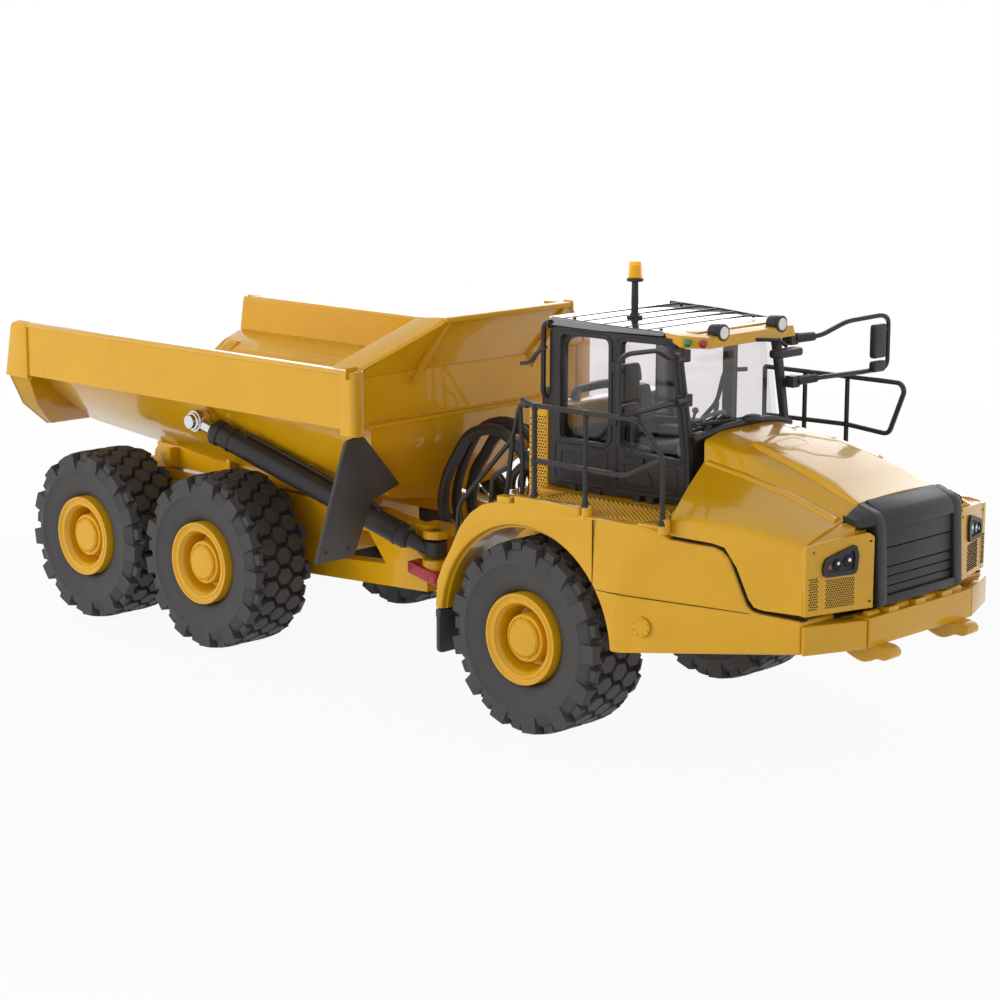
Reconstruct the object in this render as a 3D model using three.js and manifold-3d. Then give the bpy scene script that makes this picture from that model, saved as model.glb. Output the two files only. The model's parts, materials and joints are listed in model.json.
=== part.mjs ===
// Scale model (1:50) of an articulated dump truck: a front unit with cab and hood, a hitch that
// steers and twists, and a rear frame with a bogie and a tipping body.
// Millimetres. +X is forward, +Y is left, +Z is up, z = 0 is the floor under the tyres.
// Pieces are drawn in a frame whose x = 0 is the front axle; the outer group moves them so that
// the origin is under the middle of the whole model.

import * as THREE from 'three';
import { mergeVertices } from 'three/addons/utils/BufferGeometryUtils.js';
import { ConvexGeometry } from 'three/addons/geometries/ConvexGeometry.js';
import Module from 'manifold-3d';

const wasm = await Module();
wasm.setup();

// ---------------------------------------------------------------- driving sizes

const GAP = 0.3; // between two pieces that touch on the model

const AXLE_Z = 18.4; // height of the axles in the frame that the chassis is drawn in
const TYRE_R = 18.4; // a larger tyre lifts the whole truck
const TYRES_APART = 2.5; // between the tyres of the two rear axles
const TYRE_IN = 19.8; // |y| of a tyre's two sides
const TYRE_OUT = 35.0;
const RIM_R = 8.7;
const HUB_R = 3.9;
const DRUM_R = 5.3; // axle end that the wheel turns on
const MID_AXLE_X = -91.7;
const BOGIE = 2 * TYRE_R + TYRES_APART; // mid axle to rear axle
const REAR_AXLE_X = MID_AXLE_X - BOGIE;

const SIDE_Y = 34.5; // outer face of fenders and body sides
const HITCH_X = -38;
const TWIST_Z = 21; // height of the shaft that lets the rear frame twist

const DECK_Z = 43.6;
const FRAME_HALF = 9; // half width of the front frame
const FRAME_Z = AXLE_Z + 7.6; // underside of the front frame, over the axle's middle
const FRAME_TOP = FRAME_Z + 7;

const BODY_LEDGE_Z = AXLE_Z + TYRE_R + 15; // outer side panels start here, over the tyres
const BODY_RIM_Z = BODY_LEDGE_Z + 11.5;
const BODY_WALL = 1.3;
const BODY_FRONT_X = -46;
const TAIL_X = -160.4;
const TIP = { x: REAR_AXLE_X - 3, z: 32.5, most: 70 }; // body pivot, largest angle in degrees

const CAB = { rear: -9.3, pillar: 6.5, front: 23.6, lean: 3.6, rearY: 17.3, frontY: 15, wall: 1.3 };
const CAB_TOP = 74;
const SILL_Z = 53;

const BUMPER = { front: 64.4, low: 24.8, top: 30, half: 15.8, cornerX: 59.4, cornerY: 27.9 };
const HOOK_TIP = 67.3;

const HOIST_LOW = [-42, 15, 25]; // |y| is used on both sides
const HOIST_HIGH = [-96.4, 31, BODY_LEDGE_Z - 4.3];
const BARREL_R = 2.5;
const ROD_R = 1.45;

// ---------------------------------------------------------------- finishes

function finish(color, roughness, metalness = 0) {
  return new THREE.MeshStandardMaterial({ color, roughness, metalness });
}
const yellow = finish(0xd9991c, 0.3);
const black = finish(0x24211f, 0.5);
const rubber = finish(0x3c3a39, 0.8);
const chrome = finish(0xc8c8c8, 0.15, 1);
const glass = finish(0xb9b4b8, 0.1);
const amber = finish(0xff9a10, 0.2);
const red = finish(0xa01818, 0.4);
const grey = finish(0x5a5a5c, 0.6);

// ---------------------------------------------------------------- solids

function toSolid(geometry) {
  const bare = geometry.clone();
  for (const name of ['normal', 'uv', 'color']) bare.deleteAttribute(name);
  const merged = mergeVertices(bare, 1e-4);
  const p = merged.attributes.position.array;
  const index = [];
  let volume = 0;
  for (let i = 0; i < merged.index.count; i += 3) {
    const [a, b, c] = [0, 1, 2].map((k) => merged.index.array[i + k]);
    if (a === b || b === c || c === a) continue;
    index.push(a, b, c);
    const [va, vb, vc] = [a, b, c].map((k) => new THREE.Vector3().fromArray(p, 3 * k));
    volume += va.dot(vb.cross(vc));
  }
  if (volume < 0) index.reverse();
  return new wasm.Manifold(new wasm.Mesh({
    numProp: 3, vertProperties: Float32Array.from(p), triVerts: Uint32Array.from(index),
  }));
}

function toGeometry(solid) {
  const mesh = solid.getMesh();
  const geometry = new THREE.BufferGeometry();
  const vertices = Float32Array.from(mesh.vertProperties);
  geometry.setAttribute('position', new THREE.BufferAttribute(vertices, 3));
  geometry.setIndex(new THREE.BufferAttribute(Uint32Array.from(mesh.triVerts), 1));
  return geometry;
}

function join(...solids) {
  return solids.reduce((sum, next) => sum.add(next));
}

function moved(geometry, matrix) {
  return toSolid(geometry.clone().applyMatrix4(matrix));
}

function mirrored(solid) {
  return moved(toGeometry(solid), new THREE.Matrix4().makeScale(1, -1, 1));
}

function both(solid) {
  return solid.add(mirrored(solid));
}

function box(x0, x1, y0, y1, z0, z1) {
  const shape = new THREE.BoxGeometry(x1 - x0, y1 - y0, z1 - z0);
  return moved(shape, new THREE.Matrix4().makeTranslation((x0 + x1) / 2, (y0 + y1) / 2, (z0 + z1) / 2));
}

function extruded(points, depth) {
  const outline = new THREE.Shape(points.map(([a, b]) => new THREE.Vector2(a, b)));
  return new THREE.ExtrudeGeometry(outline, { depth, bevelEnabled: false });
}

// outline in (x, z), between two y
function prismY(points, y0, y1) {
  const turn = new THREE.Matrix4().makeRotationX(Math.PI / 2).setPosition(0, y1, 0);
  return moved(extruded(points, y1 - y0), turn);
}

// outline in (y, z), between two x
function prismX(points, x0, x1) {
  const axes = [[0, 1, 0], [0, 0, 1], [1, 0, 0]].map((v) => new THREE.Vector3(...v));
  return moved(extruded(points, x1 - x0), new THREE.Matrix4().makeBasis(...axes).setPosition(x0, 0, 0));
}

// outline in (x, y), between two z
function prismZ(points, z0, z1) {
  return moved(extruded(points, z1 - z0), new THREE.Matrix4().makeTranslation(0, 0, z0));
}

function cylinder(from, to, radius, sides = 20, radius2 = radius) {
  const a = new THREE.Vector3(...from);
  const b = new THREE.Vector3(...to);
  const along = b.clone().sub(a);
  const shape = new THREE.CylinderGeometry(radius2, radius, along.length(), sides);
  const turn = new THREE.Quaternion()
    .setFromUnitVectors(new THREE.Vector3(0, 1, 0), along.clone().normalize());
  const middle = a.add(b).multiplyScalar(0.5);
  return moved(shape, new THREE.Matrix4().compose(middle, turn, new THREE.Vector3(1, 1, 1)));
}

// profile of [radius, y] pairs turned about a line along Y through (x, z)
function turned(profile, x, z, sides) {
  const points = profile.map(([r, y]) => new THREE.Vector2(r, y));
  return moved(new THREE.LatheGeometry(points, sides), new THREE.Matrix4().makeTranslation(x, 0, z));
}

// a bent bar: straight stretches that run into each other at the bends
function bar(points, radius, sides = 6) {
  const pieces = [];
  for (let i = 0; i + 1 < points.length; i += 1) {
    const a = new THREE.Vector3(...points[i]);
    const b = new THREE.Vector3(...points[i + 1]);
    const step = b.clone().sub(a).normalize().multiplyScalar(radius * 0.6);
    if (i > 0) a.sub(step);
    if (i + 2 < points.length) b.add(step);
    pieces.push(cylinder(a.toArray(), b.toArray(), radius, sides));
  }
  return join(...pieces);
}

function convex(points) {
  return toSolid(new ConvexGeometry(points.map((p) => new THREE.Vector3(...p))));
}

// a skin of equal rings, closed with a fan at both ends; each ring is a loop of [x, y, z]
function loft(rings) {
  const count = rings[0].length;
  const vertices = rings.flat();
  const index = [];
  for (let r = 0; r + 1 < rings.length; r += 1) {
    for (let k = 0; k < count; k += 1) {
      const a = r * count + k;
      const b = r * count + (k + 1) % count;
      index.push(a, b, b + count, a, b + count, a + count);
    }
  }
  for (const [ring, flip] of [[0, true], [rings.length - 1, false]]) {
    const middle = vertices.length;
    const sum = [0, 1, 2].map((axis) => rings[ring].reduce((s, p) => s + p[axis], 0) / count);
    vertices.push(sum);
    for (let k = 0; k < count; k += 1) {
      const a = ring * count + k;
      const b = ring * count + (k + 1) % count;
      index.push(...(flip ? [middle, b, a] : [middle, a, b]));
    }
  }
  const geometry = new THREE.BufferGeometry();
  geometry.setAttribute('position', new THREE.Float32BufferAttribute(vertices.flat(), 3));
  geometry.setIndex(index);
  return toSolid(geometry);
}

// ---------------------------------------------------------------- the scene graph

const model = new THREE.Group();
const truck = new THREE.Group();
truck.position.set(-(HOOK_TIP + TAIL_X) / 2, 0, TYRE_R - AXLE_Z);
model.add(truck);

function piece(name, solid, material) {
  const mesh = new THREE.Mesh(toGeometry(solid), material);
  mesh.name = name;
  truck.add(mesh);
}

function pair(name, rightSolid, material) {
  piece(`${name}_right`, rightSolid, material);
  piece(`${name}_left`, mirrored(rightSolid), material);
}

// ---------------------------------------------------------------- wheels and axles

const DISC_Y = TYRE_OUT - 6.4; // back of the rim's disc

function tyreSolid(x) {
  const bore = RIM_R + GAP;
  const half = [
    [bore, TYRE_IN + 1.6], [bore + 4, TYRE_IN], [TYRE_R - 2, TYRE_IN + 0.5], [TYRE_R, TYRE_IN + 1.8],
  ];
  const middle = (TYRE_IN + TYRE_OUT) / 2;
  const other = half.map(([r, y]) => [r, 2 * middle - y]).reverse();
  return turned([...half, ...other, half[0]], x, AXLE_Z, 24);
}

function rimSolid(x) {
  const face = TYRE_OUT + 0.3;
  const cup = DRUM_R + 0.5;
  return turned([
    [0, DISC_Y], [cup, DISC_Y], [cup, TYRE_IN + 1.6], [RIM_R, TYRE_IN + 1.6], [RIM_R, face],
    [RIM_R - 0.9, face], [RIM_R - 2.2, face - 2], [HUB_R + 0.9, DISC_Y + 2.2],
    [HUB_R, face - 2], [HUB_R - 0.9, face - 1.2], [0, face - 1],
  ], x, AXLE_Z, 20);
}

function axleSolid(x) {
  const end = DISC_Y - 0.4;
  const half = [[0, end], [DRUM_R, end], [DRUM_R, TYRE_IN + 1], [3.2, TYRE_IN - 0.5], [3.2, 7], [7.2, 3]];
  const other = half.map(([r, y]) => [r, -y]).reverse();
  return turned([...half, ...other], x, AXLE_Z, 16);
}

const axles = { front: 0, mid: MID_AXLE_X, rear: REAR_AXLE_X };
for (const [name, x] of Object.entries(axles)) {
  piece(`${name}_axle`, axleSolid(x), yellow);
  for (const [side, place] of [['left', (s) => s], ['right', mirrored]]) {
    piece(`tyre_${name}_${side}`, place(tyreSolid(x)), rubber);
    piece(`rim_${name}_${side}`, place(rimSolid(x)), yellow);
  }
}

// ---------------------------------------------------------------- front frame and hitch

const LUG_LOW = { low: 11.5, top: 14 };
const LUG_HIGH = { low: 28.2, top: 31 };
const PIN_R = 1.6;

function frontFrame() {
  const front = BUMPER.front - 4.1;
  const neck = HITCH_X + 9;
  const beam = box(neck, front, -FRAME_HALF, FRAME_HALF, FRAME_Z, FRAME_TOP);
  const plinthSeat = box(14, 34, -6, 6, FRAME_Z - 1, FRAME_Z);
  const cover = box(neck + 4, CAB.rear - 1, -15, 15, FRAME_TOP, FRAME_TOP + 5);
  const plate = box(neck, neck + 3, -FRAME_HALF, FRAME_HALF, LUG_LOW.low, FRAME_TOP);
  const brace = prismY([[neck + 2, LUG_LOW.low], [neck + 9, FRAME_Z + 1], [neck + 2, FRAME_Z + 1]], -2, 2);
  const lugs = [LUG_LOW, LUG_HIGH].map(({ low, top }) => join(
    box(HITCH_X, neck + 1, -4, 4, low, top), cylinder([HITCH_X, 0, low], [HITCH_X, 0, top], 4),
  ));
  const pin = cylinder([HITCH_X, 0, LUG_LOW.low], [HITCH_X, 0, LUG_HIGH.top], PIN_R);
  return join(beam, plinthSeat, cover, plate, brace, ...lugs, pin);
}
piece('front_frame', frontFrame(), yellow);

const SHAFT = { r: 3.6, from: HITCH_X - 5, to: HITCH_X - 17 };

function hitchYoke() {
  const low = LUG_LOW.top + GAP;
  const high = LUG_HIGH.low - GAP;
  const block = join(
    cylinder([HITCH_X, 0, low], [HITCH_X, 0, high], 4),
    box(HITCH_X - 6, HITCH_X, -4, 4, low, high),
    cylinder([SHAFT.from, 0, TWIST_Z], [SHAFT.to, 0, TWIST_Z], SHAFT.r),
  );
  return block.subtract(cylinder([HITCH_X, 0, low - 1], [HITCH_X, 0, high + 1], PIN_R + 0.3));
}
piece('hitch_yoke', hitchYoke(), yellow);

// ---------------------------------------------------------------- rear frame and bogie

// where the hoist's upper eye goes when the body is fully tipped
function tippedEye() {
  const turn = THREE.MathUtils.degToRad(TIP.most);
  const dx = HOIST_HIGH[0] - TIP.x;
  const dz = HOIST_HIGH[2] - TIP.z;
  return [
    TIP.x + dx * Math.cos(turn) - dz * Math.sin(turn), HOIST_HIGH[1],
    TIP.z + dx * Math.sin(turn) + dz * Math.cos(turn),
  ];
}

const RAIL = { in: 10.5, out: 14.5 };
const RAIL_TOP = 31.2;
const AXLE_CLEAR_Z = AXLE_Z + 3.8; // underside of the rails over the axle tubes

function rearFrame() {
  const nose = HITCH_X - 7;
  const tail = TIP.x - 3;
  const step = MID_AXLE_X + 7;
  const rail = prismY([
    [nose, 16.5], [step, 14.5], [step, AXLE_CLEAR_Z], [tail, AXLE_CLEAR_Z + 1], [tail, RAIL_TOP],
    [nose - 14, RAIL_TOP], [nose, 29],
  ], RAIL.in, RAIL.out);
  const lightening = prismY([
    [nose - 12, 20.5], [step + 8, 19], [step + 8, 26.5], [nose - 17, 26.5],
  ], RAIL.in - 1, RAIL.out + 1);
  const rails = both(rail.subtract(lightening));
  const span = RAIL.in + 0.5;
  const crosses = [
    box(nose - 5, nose, -span, span, 15.8, 29),
    box(MID_AXLE_X + 12, MID_AXLE_X + 16, -span, span, 19, RAIL_TOP - 1),
    box(REAR_AXLE_X + 16, REAR_AXLE_X + 22, -span, span, AXLE_CLEAR_Z + 1, RAIL_TOP - 1),
    box(tail, tail + 5, -span, span, AXLE_CLEAR_Z + 4, TIP.z - 3.4),
  ];
  const collar = cylinder([nose - 10, 0, TWIST_Z], [nose, 0, TWIST_Z], SHAFT.r + 2.4);
  const bore = cylinder([nose - 12, 0, TWIST_Z], [nose + 2, 0, TWIST_Z], SHAFT.r + 0.3);
  const [hx, hy, hz] = HOIST_LOW;
  const bosses = [[hz - 4.8, hz - 3.3], [hz + 3.3, hz + 4.8]].map(([low, top]) => both(join(
    cylinder([hx, hy, low], [hx, hy, top], 2.6), box(nose - 4, hx + 1.5, 8, hy - 1.6, low, top),
  )));
  const barrelRoom = both(join(
    cylinder(HOIST_LOW, HOIST_HIGH, BARREL_R + 0.8), cylinder(HOIST_LOW, tippedEye(), BARREL_R + 0.8),
  ));
  const ears = both(cylinder([TIP.x, 8.5, TIP.z], [TIP.x, 10.2, TIP.z], 2.6)
    .add(box(TIP.x - 2.6, TIP.x + 2.6, 8.5, RAIL.in + 0.5, RAIL_TOP - 4, TIP.z)));
  const frame = join(rails, ...crosses, collar, ears).subtract(barrelRoom);
  return join(frame, ...bosses).subtract(bore);
}
piece('rear_frame', rearFrame(), yellow);

// beam that carries the two axle ends of one side, turning about its middle
function walkingBeam() {
  const inner = RAIL.out + GAP;
  const outer = TYRE_IN - 0.9;
  const middle = (MID_AXLE_X + REAR_AXLE_X) / 2;
  const outline = [
    [REAR_AXLE_X - 5, AXLE_Z - 3], [REAR_AXLE_X - 5, AXLE_Z + 3], [middle - 5, AXLE_Z + 7],
    [middle + 5, AXLE_Z + 7], [MID_AXLE_X + 5, AXLE_Z + 3], [MID_AXLE_X + 5, AXLE_Z - 3],
    [middle + 6, AXLE_Z - 3.4], [middle - 6, AXLE_Z - 3.4],
  ];
  const holes = [MID_AXLE_X, REAR_AXLE_X]
    .map((x) => cylinder([x, inner - 1, AXLE_Z], [x, outer + 1, AXLE_Z], 3.5));
  return mirrored(prismY(outline, inner, outer).subtract(join(...holes)));
}
pair('walking_beam', walkingBeam(), yellow);

// red bar that locks the steering for transport, stowed on the frame's nose
piece('steering_lock', box(HITCH_X - 3.6, HITCH_X + 2.4, -17.6, -15.4, 17.4, 19.6)
  .add(box(HITCH_X - 8.6, HITCH_X - 2, -17.2, -RAIL.out - GAP, 17.6, 19.4)), red);

// ---------------------------------------------------------------- dump body

// half outlines of the hull under the side ledge, [|y|, depth under the ledge], down to the middle
const HULL = [
  { x: TAIL_X - 3, half: [[29.4, 0], [24.5, 3.6], [18.5, 7.8], [11.5, 12.8], [0, 13]] },
  { x: -132, half: [[28.9, 0], [25, 4.8], [19.5, 10.3], [11.5, 15.6], [0, 15.8]] },
  { x: -110, half: [[28.5, 0], [26.3, 4.5], [22, 10.2], [15.5, 16], [0, 17.8]] },
  { x: -78, half: [[28.6, 0], [26.4, 4.5], [22.2, 10.2], [15.8, 16.4], [0, 18.8]] },
  { x: -40, half: [[29, 0], [27, 5], [23, 10.8], [15, 17.3], [0, 19.4]] },
];
const FLOOR_T = 1.6;
const TAIL_BACK = TAIL_X - 3; // the hull is drawn past the slanted tail, then cut
const TAIL_DEPTH = 13; // the tail's lip under the ledge
const FAR = 60; // half width of the cutting blocks
const CANOPY_RISE = 9.9;
const PANEL_T = 1.5;

function hullRing({ x, half }, top, wall) {
  const right = half.map(([y, depth]) => [x, -Math.max(y - wall, 0), BODY_LEDGE_Z - depth + wall]);
  const left = right.slice(0, -1).map(([px, y, z]) => [px, -y, z]).reverse();
  const ry = half[0][0] - wall;
  return [[x, -ry, top], ...right, ...left, [x, ry, top]];
}

// lower front of the body slopes back from the ledge to the floor
function frontCut(shift) {
  const x = BODY_FRONT_X - shift;
  const ledge = BODY_LEDGE_Z;
  return prismY([
    [x + 30, ledge - 41.8], [x + 30, BODY_RIM_Z + 40], [x, BODY_RIM_Z + 40], [x, ledge],
    [x - 4.5, ledge - 9.8], [x - 12, ledge - 21.8], [x - 12, ledge - 41.8],
  ], -FAR, FAR);
}

function bodySpace() {
  const ledge = BODY_LEDGE_Z;
  const panelIn = SIDE_Y - PANEL_T;
  const hullTop = ledge + 3;
  const stations = HULL.map((s) => ({ ...s, x: s.x === TAIL_BACK ? s.x - 5 : s.x }));
  const side = (x) => [
    [x, -panelIn, BODY_RIM_Z + 5], [x, -panelIn, hullTop + 0.2], [x, -27, ledge + 0.2],
    [x, 27, ledge + 0.2], [x, panelIn, hullTop + 0.2], [x, panelIn, BODY_RIM_Z + 5],
  ];
  return join(
    loft(stations.map((s) => hullRing(s, hullTop, FLOOR_T))),
    loft([side(TAIL_BACK - 5), side(BODY_FRONT_X + 5)]),
  ).subtract(frontCut(BODY_WALL));
}

// wall over the body's front that leans forward, with a flange along each slanted edge
function canopy() {
  const low = BODY_RIM_Z - 1.5;
  const top = BODY_RIM_Z + CANOPY_RISE;
  const flangeLow = BODY_RIM_Z - 1;
  const sheet = convex([0, BODY_WALL].flatMap((back) => [
    [BODY_FRONT_X - back, -SIDE_Y + 1, low], [BODY_FRONT_X - back, SIDE_Y - 1, low],
    [BODY_FRONT_X + 10 - back, 18, top], [BODY_FRONT_X + 10 - back, -18, top],
  ]));
  const flange = convex([SIDE_Y - 0.5, SIDE_Y - 1.7].flatMap((y) => [
    [BODY_FRONT_X - 4.5, -y, flangeLow], [BODY_FRONT_X, -y, flangeLow],
  ]).concat([18.4, 17.2].flatMap((y) => [
    [BODY_FRONT_X + 6, -y, top], [BODY_FRONT_X + 10, -y, top],
  ])));
  return sheet.add(both(flange));
}

// the tail's slanted lip, open over its inner slope
function tailLip() {
  const ledge = BODY_LEDGE_Z;
  const low = ledge - TAIL_DEPTH;
  const slab = prismX([
    [-SIDE_Y, ledge + 0.5], [-21.5, low], [21.5, low], [SIDE_Y, ledge + 0.5],
  ], TAIL_BACK, TAIL_X + 3);
  const slope = prismY([
    [TAIL_X + 1.4, low - 1.8], [TAIL_X + 10, low - 1.8], [TAIL_X + 10, ledge + 3.2],
    [TAIL_X + 4.6, ledge + 3.2],
  ], -FAR, FAR);
  return slab.subtract(slope);
}

// everything behind the tail's slanted line
function tailCut() {
  const low = BODY_LEDGE_Z - TAIL_DEPTH - 0.8;
  const high = BODY_RIM_Z + 16.7;
  return prismY([
    [TAIL_X, low], [TAIL_X, low - 8], [TAIL_X - 30, low - 8], [TAIL_X - 30, high],
    [TAIL_X + 8.6, high], [TAIL_X + 5.2, BODY_RIM_Z],
  ], -FAR, FAR);
}

const BODY_LUG = { in: 6, out: 8.2, r: 2.6 }; // hinge lug of the body, inside the frame's ear

function dumpBody() {
  const ledge = BODY_LEDGE_Z;
  const rim = BODY_RIM_Z;
  const outer = join(
    loft(HULL.map((s) => hullRing(s, ledge + 0.5, 0))),
    box(TAIL_BACK, BODY_FRONT_X, -SIDE_Y, SIDE_Y, ledge, rim),
  ).subtract(frontCut(0));
  const space = bodySpace();
  const postY = -SIDE_Y + 3.2;
  const post = cylinder([BODY_FRONT_X, postY, ledge - 0.8], [BODY_FRONT_X, postY, rim], 3.2, 16);
  const strip = box(TAIL_X + 2, TAIL_X + 12, -SIDE_Y - 0.5, -SIDE_Y + 0.5, ledge, rim);
  const { in: lugIn, out: lugOut, r: lugR } = BODY_LUG;
  const lug = cylinder([TIP.x, lugIn, TIP.z], [TIP.x, lugOut, TIP.z], lugR)
    .add(box(TIP.x - lugR, TIP.x + lugR, lugIn, lugOut, TIP.z, ledge - 11));
  const [ex, ey, ez] = HOIST_HIGH;
  const boss = cylinder([ex, -22, ez], [ex, -ey + 2.3, ez], 2.4);
  const stopX = BODY_FRONT_X - 20;
  const stop = box(stopX - 4, stopX + 4, RAIL.in, RAIL.out - 0.5, RAIL_TOP + GAP, ledge - 15);
  return outer.add(tailLip()).add(both(strip))
    .subtract(tailCut())
    .add(both(join(lug, boss, stop)))
    .subtract(space)
    .add(canopy()).add(both(post));
}
piece('dump_body', dumpBody(), yellow);

// rubber flap under each front corner of the body, leaning back towards the bogie
const FLAP_LEAN = 0.363;
const FLAP_DROP = 26.9;
function bodyFlap() {
  const top = BODY_LEDGE_Z - 1.3;
  const low = top - FLAP_DROP;
  const outline = [
    [-35.3, top - 0.6], [-31, top], [-17.9, top - 11.9], [-23.9, top - 14.6], [-24.7, low], [-35, low],
    [-35.3, top - 8.1],
  ];
  const lean = new THREE.Matrix4()
    .set(1, 0, FLAP_LEAN, -FLAP_LEAN * top, 0, 1, 0, 0, 0, 0, 1, 0, 0, 0, 0, 1);
  return moved(toGeometry(prismX(outline, BODY_FRONT_X - 0.7, BODY_FRONT_X + 0.3)), lean);
}
pair('body_flap', bodyFlap(), black);

// ---------------------------------------------------------------- hoist cylinders

function hoist(side) {
  const low = new THREE.Vector3(HOIST_LOW[0], side * HOIST_LOW[1], HOIST_LOW[2]);
  const high = new THREE.Vector3(HOIST_HIGH[0], side * HOIST_HIGH[1], HOIST_HIGH[2]);
  const length = low.distanceTo(high);
  const at = (s) => low.clone().lerp(high, s / length).toArray();
  const up = (p, dz) => [p[0], p[1], p[2] + dz];
  const barrel = join(
    cylinder(up(at(0), -2.8), up(at(0), 2.8), 2.2, 16),
    cylinder(at(0), at(7), 1.5, 12),
    cylinder(at(6.2), at(length - 4.4), BARREL_R, 16),
  ).subtract(cylinder(at(10), at(length), ROD_R + 0.25, 12));
  const y0 = side * (HOIST_HIGH[1] - 2);
  const y1 = side * (HOIST_HIGH[1] + 2.4);
  const rod = join(
    cylinder(at(12), at(length), ROD_R, 12),
    cylinder([high.x, y0, high.z], [high.x, side * HOIST_HIGH[1], high.z], 2.3, 16),
    cylinder([high.x, y0, high.z], [high.x, y1, high.z], 1.3, 16),
  );
  return { barrel, rod };
}
for (const [name, side] of [['right', -1], ['left', 1]]) {
  const { barrel, rod } = hoist(side);
  piece(`hoist_barrel_${name}`, barrel, black);
  piece(`hoist_rod_${name}`, rod, chrome);
}

// ---------------------------------------------------------------- fenders

const ARCH_R = TYRE_R + 2.8;
const FLAP_Z = 20.4; // foot of the fender behind the wheel
const NOSE_X = BUMPER.cornerX - 0.9; // front end of the fender's side box
const BOX_LOW = 19.8; // underside of the side box in front of the wheel
const DECK_T = 2.6;

// line along which the hood's lower edge meets the fender's top, from the cab forward
const HOOD_LINE = [[33, 43.2], [45, 42.8], [48.3, 41.2], [50.4, 37.6], [52.8, 32.4], [NOSE_X, 30.4]];

// point round the front wheel, at a distance outside the arch; 0 degrees is forward
function aroundArch(out, degrees) {
  const turn = THREE.MathUtils.degToRad(degrees);
  return [(ARCH_R + out) * Math.cos(turn), AXLE_Z + (ARCH_R + out) * Math.sin(turn)];
}

function fender() {
  const back = [[3.4, 147.8], [4.3, 133.7], [4.6, 118.9]].map(([out, degrees]) => aroundArch(out, degrees));
  const outline = [
    [-ARCH_R - 1.7, FLAP_Z], ...back, [-7, DECK_Z - 0.5], [-2, DECK_Z], [28, DECK_Z], ...HOOD_LINE,
    [NOSE_X, 24.6], [ARCH_R + 0.8, BOX_LOW], [ARCH_R - 2, BOX_LOW], [-ARCH_R + 2, FLAP_Z],
  ];
  const plan = [
    [-ARCH_R - 9, -SIDE_Y], [24, -SIDE_Y], [NOSE_X, -27.6], [NOSE_X, -18], [24, -TYRE_IN + 0.5],
    [-ARCH_R - 9, -TYRE_IN + 0.5],
  ];
  const side = prismY(outline, -SIDE_Y, 0).intersect(prismZ(plan, 0, 80));
  const deck = box(CAB.rear, 24, -TYRE_IN, -FRAME_HALF - 1, DECK_Z - DECK_T, DECK_Z);
  const treads = [-2.5, 4]
    .map((x) => box(x, x + 2.6, -SIDE_Y + 0.2, -SIDE_Y + 2.4, DECK_Z - 2.4, DECK_Z + 1.3));
  const wheelRoom = cylinder([0, -FAR, AXLE_Z], [0, 0, AXLE_Z], ARCH_R, 48);
  return join(side, deck, ...treads).subtract(wheelRoom);
}
pair('fender', fender(), yellow);

const FLAP_X = -ARCH_R - 1.5;
pair('fender_flap', box(FLAP_X, FLAP_X + 1, -SIDE_Y, -TYRE_IN, 11.6, FLAP_Z - GAP), black);

// ---------------------------------------------------------------- bumper with tow hooks

function bumper() {
  const { front, low, top, half, cornerX, cornerY } = BUMPER;
  const back = NOSE_X + GAP;
  const plan = [
    [back, cornerY], [back, 17], [front - 3.8, 14], [front - 3.8, -14], [back, -17], [back, -cornerY],
    [cornerX, -cornerY], [front, -half], [front, half], [cornerX, cornerY],
  ];
  const hook = prismY([
    [front - 8, low + 0.6], [front - 6.8, 22.4], [front - 3, 21.4], [front, 21.8], [HOOK_TIP - 0.6, 22.6],
    [HOOK_TIP, 23.4], [HOOK_TIP, 24.2], [HOOK_TIP - 1, 24.9], [front - 1, low + 0.6],
  ], -13.7, -10.3);
  const lugs = [-7.5, 0, 7.5]
    .map((y) => box(front - 3, front - 0.4, y - 1.8, y + 1.8, top - 0.5, top + 0.8));
  return join(prismZ(plan, low, top), both(hook), ...lugs);
}
piece('front_bumper', bumper(), yellow);

// ---------------------------------------------------------------- hood, grille and lamps

// half sections of the hood: middle, crown, top edge, ridge, knee, foot as [x, |y|, z]
const HOOD = [
  [[24.6, 0, 57.2], [24.6, 8, 57], [24.8, 12.9, 56], [26.6, 15, 52.6], [33, 32, 47], [33, 32.2, 31]],
  [[35, 0, 55.6], [35, 8, 55.4], [35, 12.8, 54.4], [36, 15.2, 51.2], [39, 31, 46.4], [39, 31.2, 31]],
  [[47, 0, 52.8], [47, 8.5, 52.6], [47, 12.7, 51.5], [48, 16, 49.2], [48.5, 29.2, 45.2], [48.5, 29.4, 31]],
  [
    [58.6, 0, 49.7], [58.6, 9, 49.5], [58.6, 12.6, 48.6], [58.7, 17, 46.6], [58.7, 27.2, 43.8],
    [58.7, 27.4, 31],
  ],
];
const HOOD_WALL = 1.1;

function hoodRing(section, wall, stretch) {
  const right = section.map(([x, y, z]) => [x + stretch, -Math.max(y - wall, 0), z - wall]);
  const left = right.slice(1).map(([x, y, z]) => [x, -y, z]).reverse();
  return [...right, ...left];
}

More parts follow.
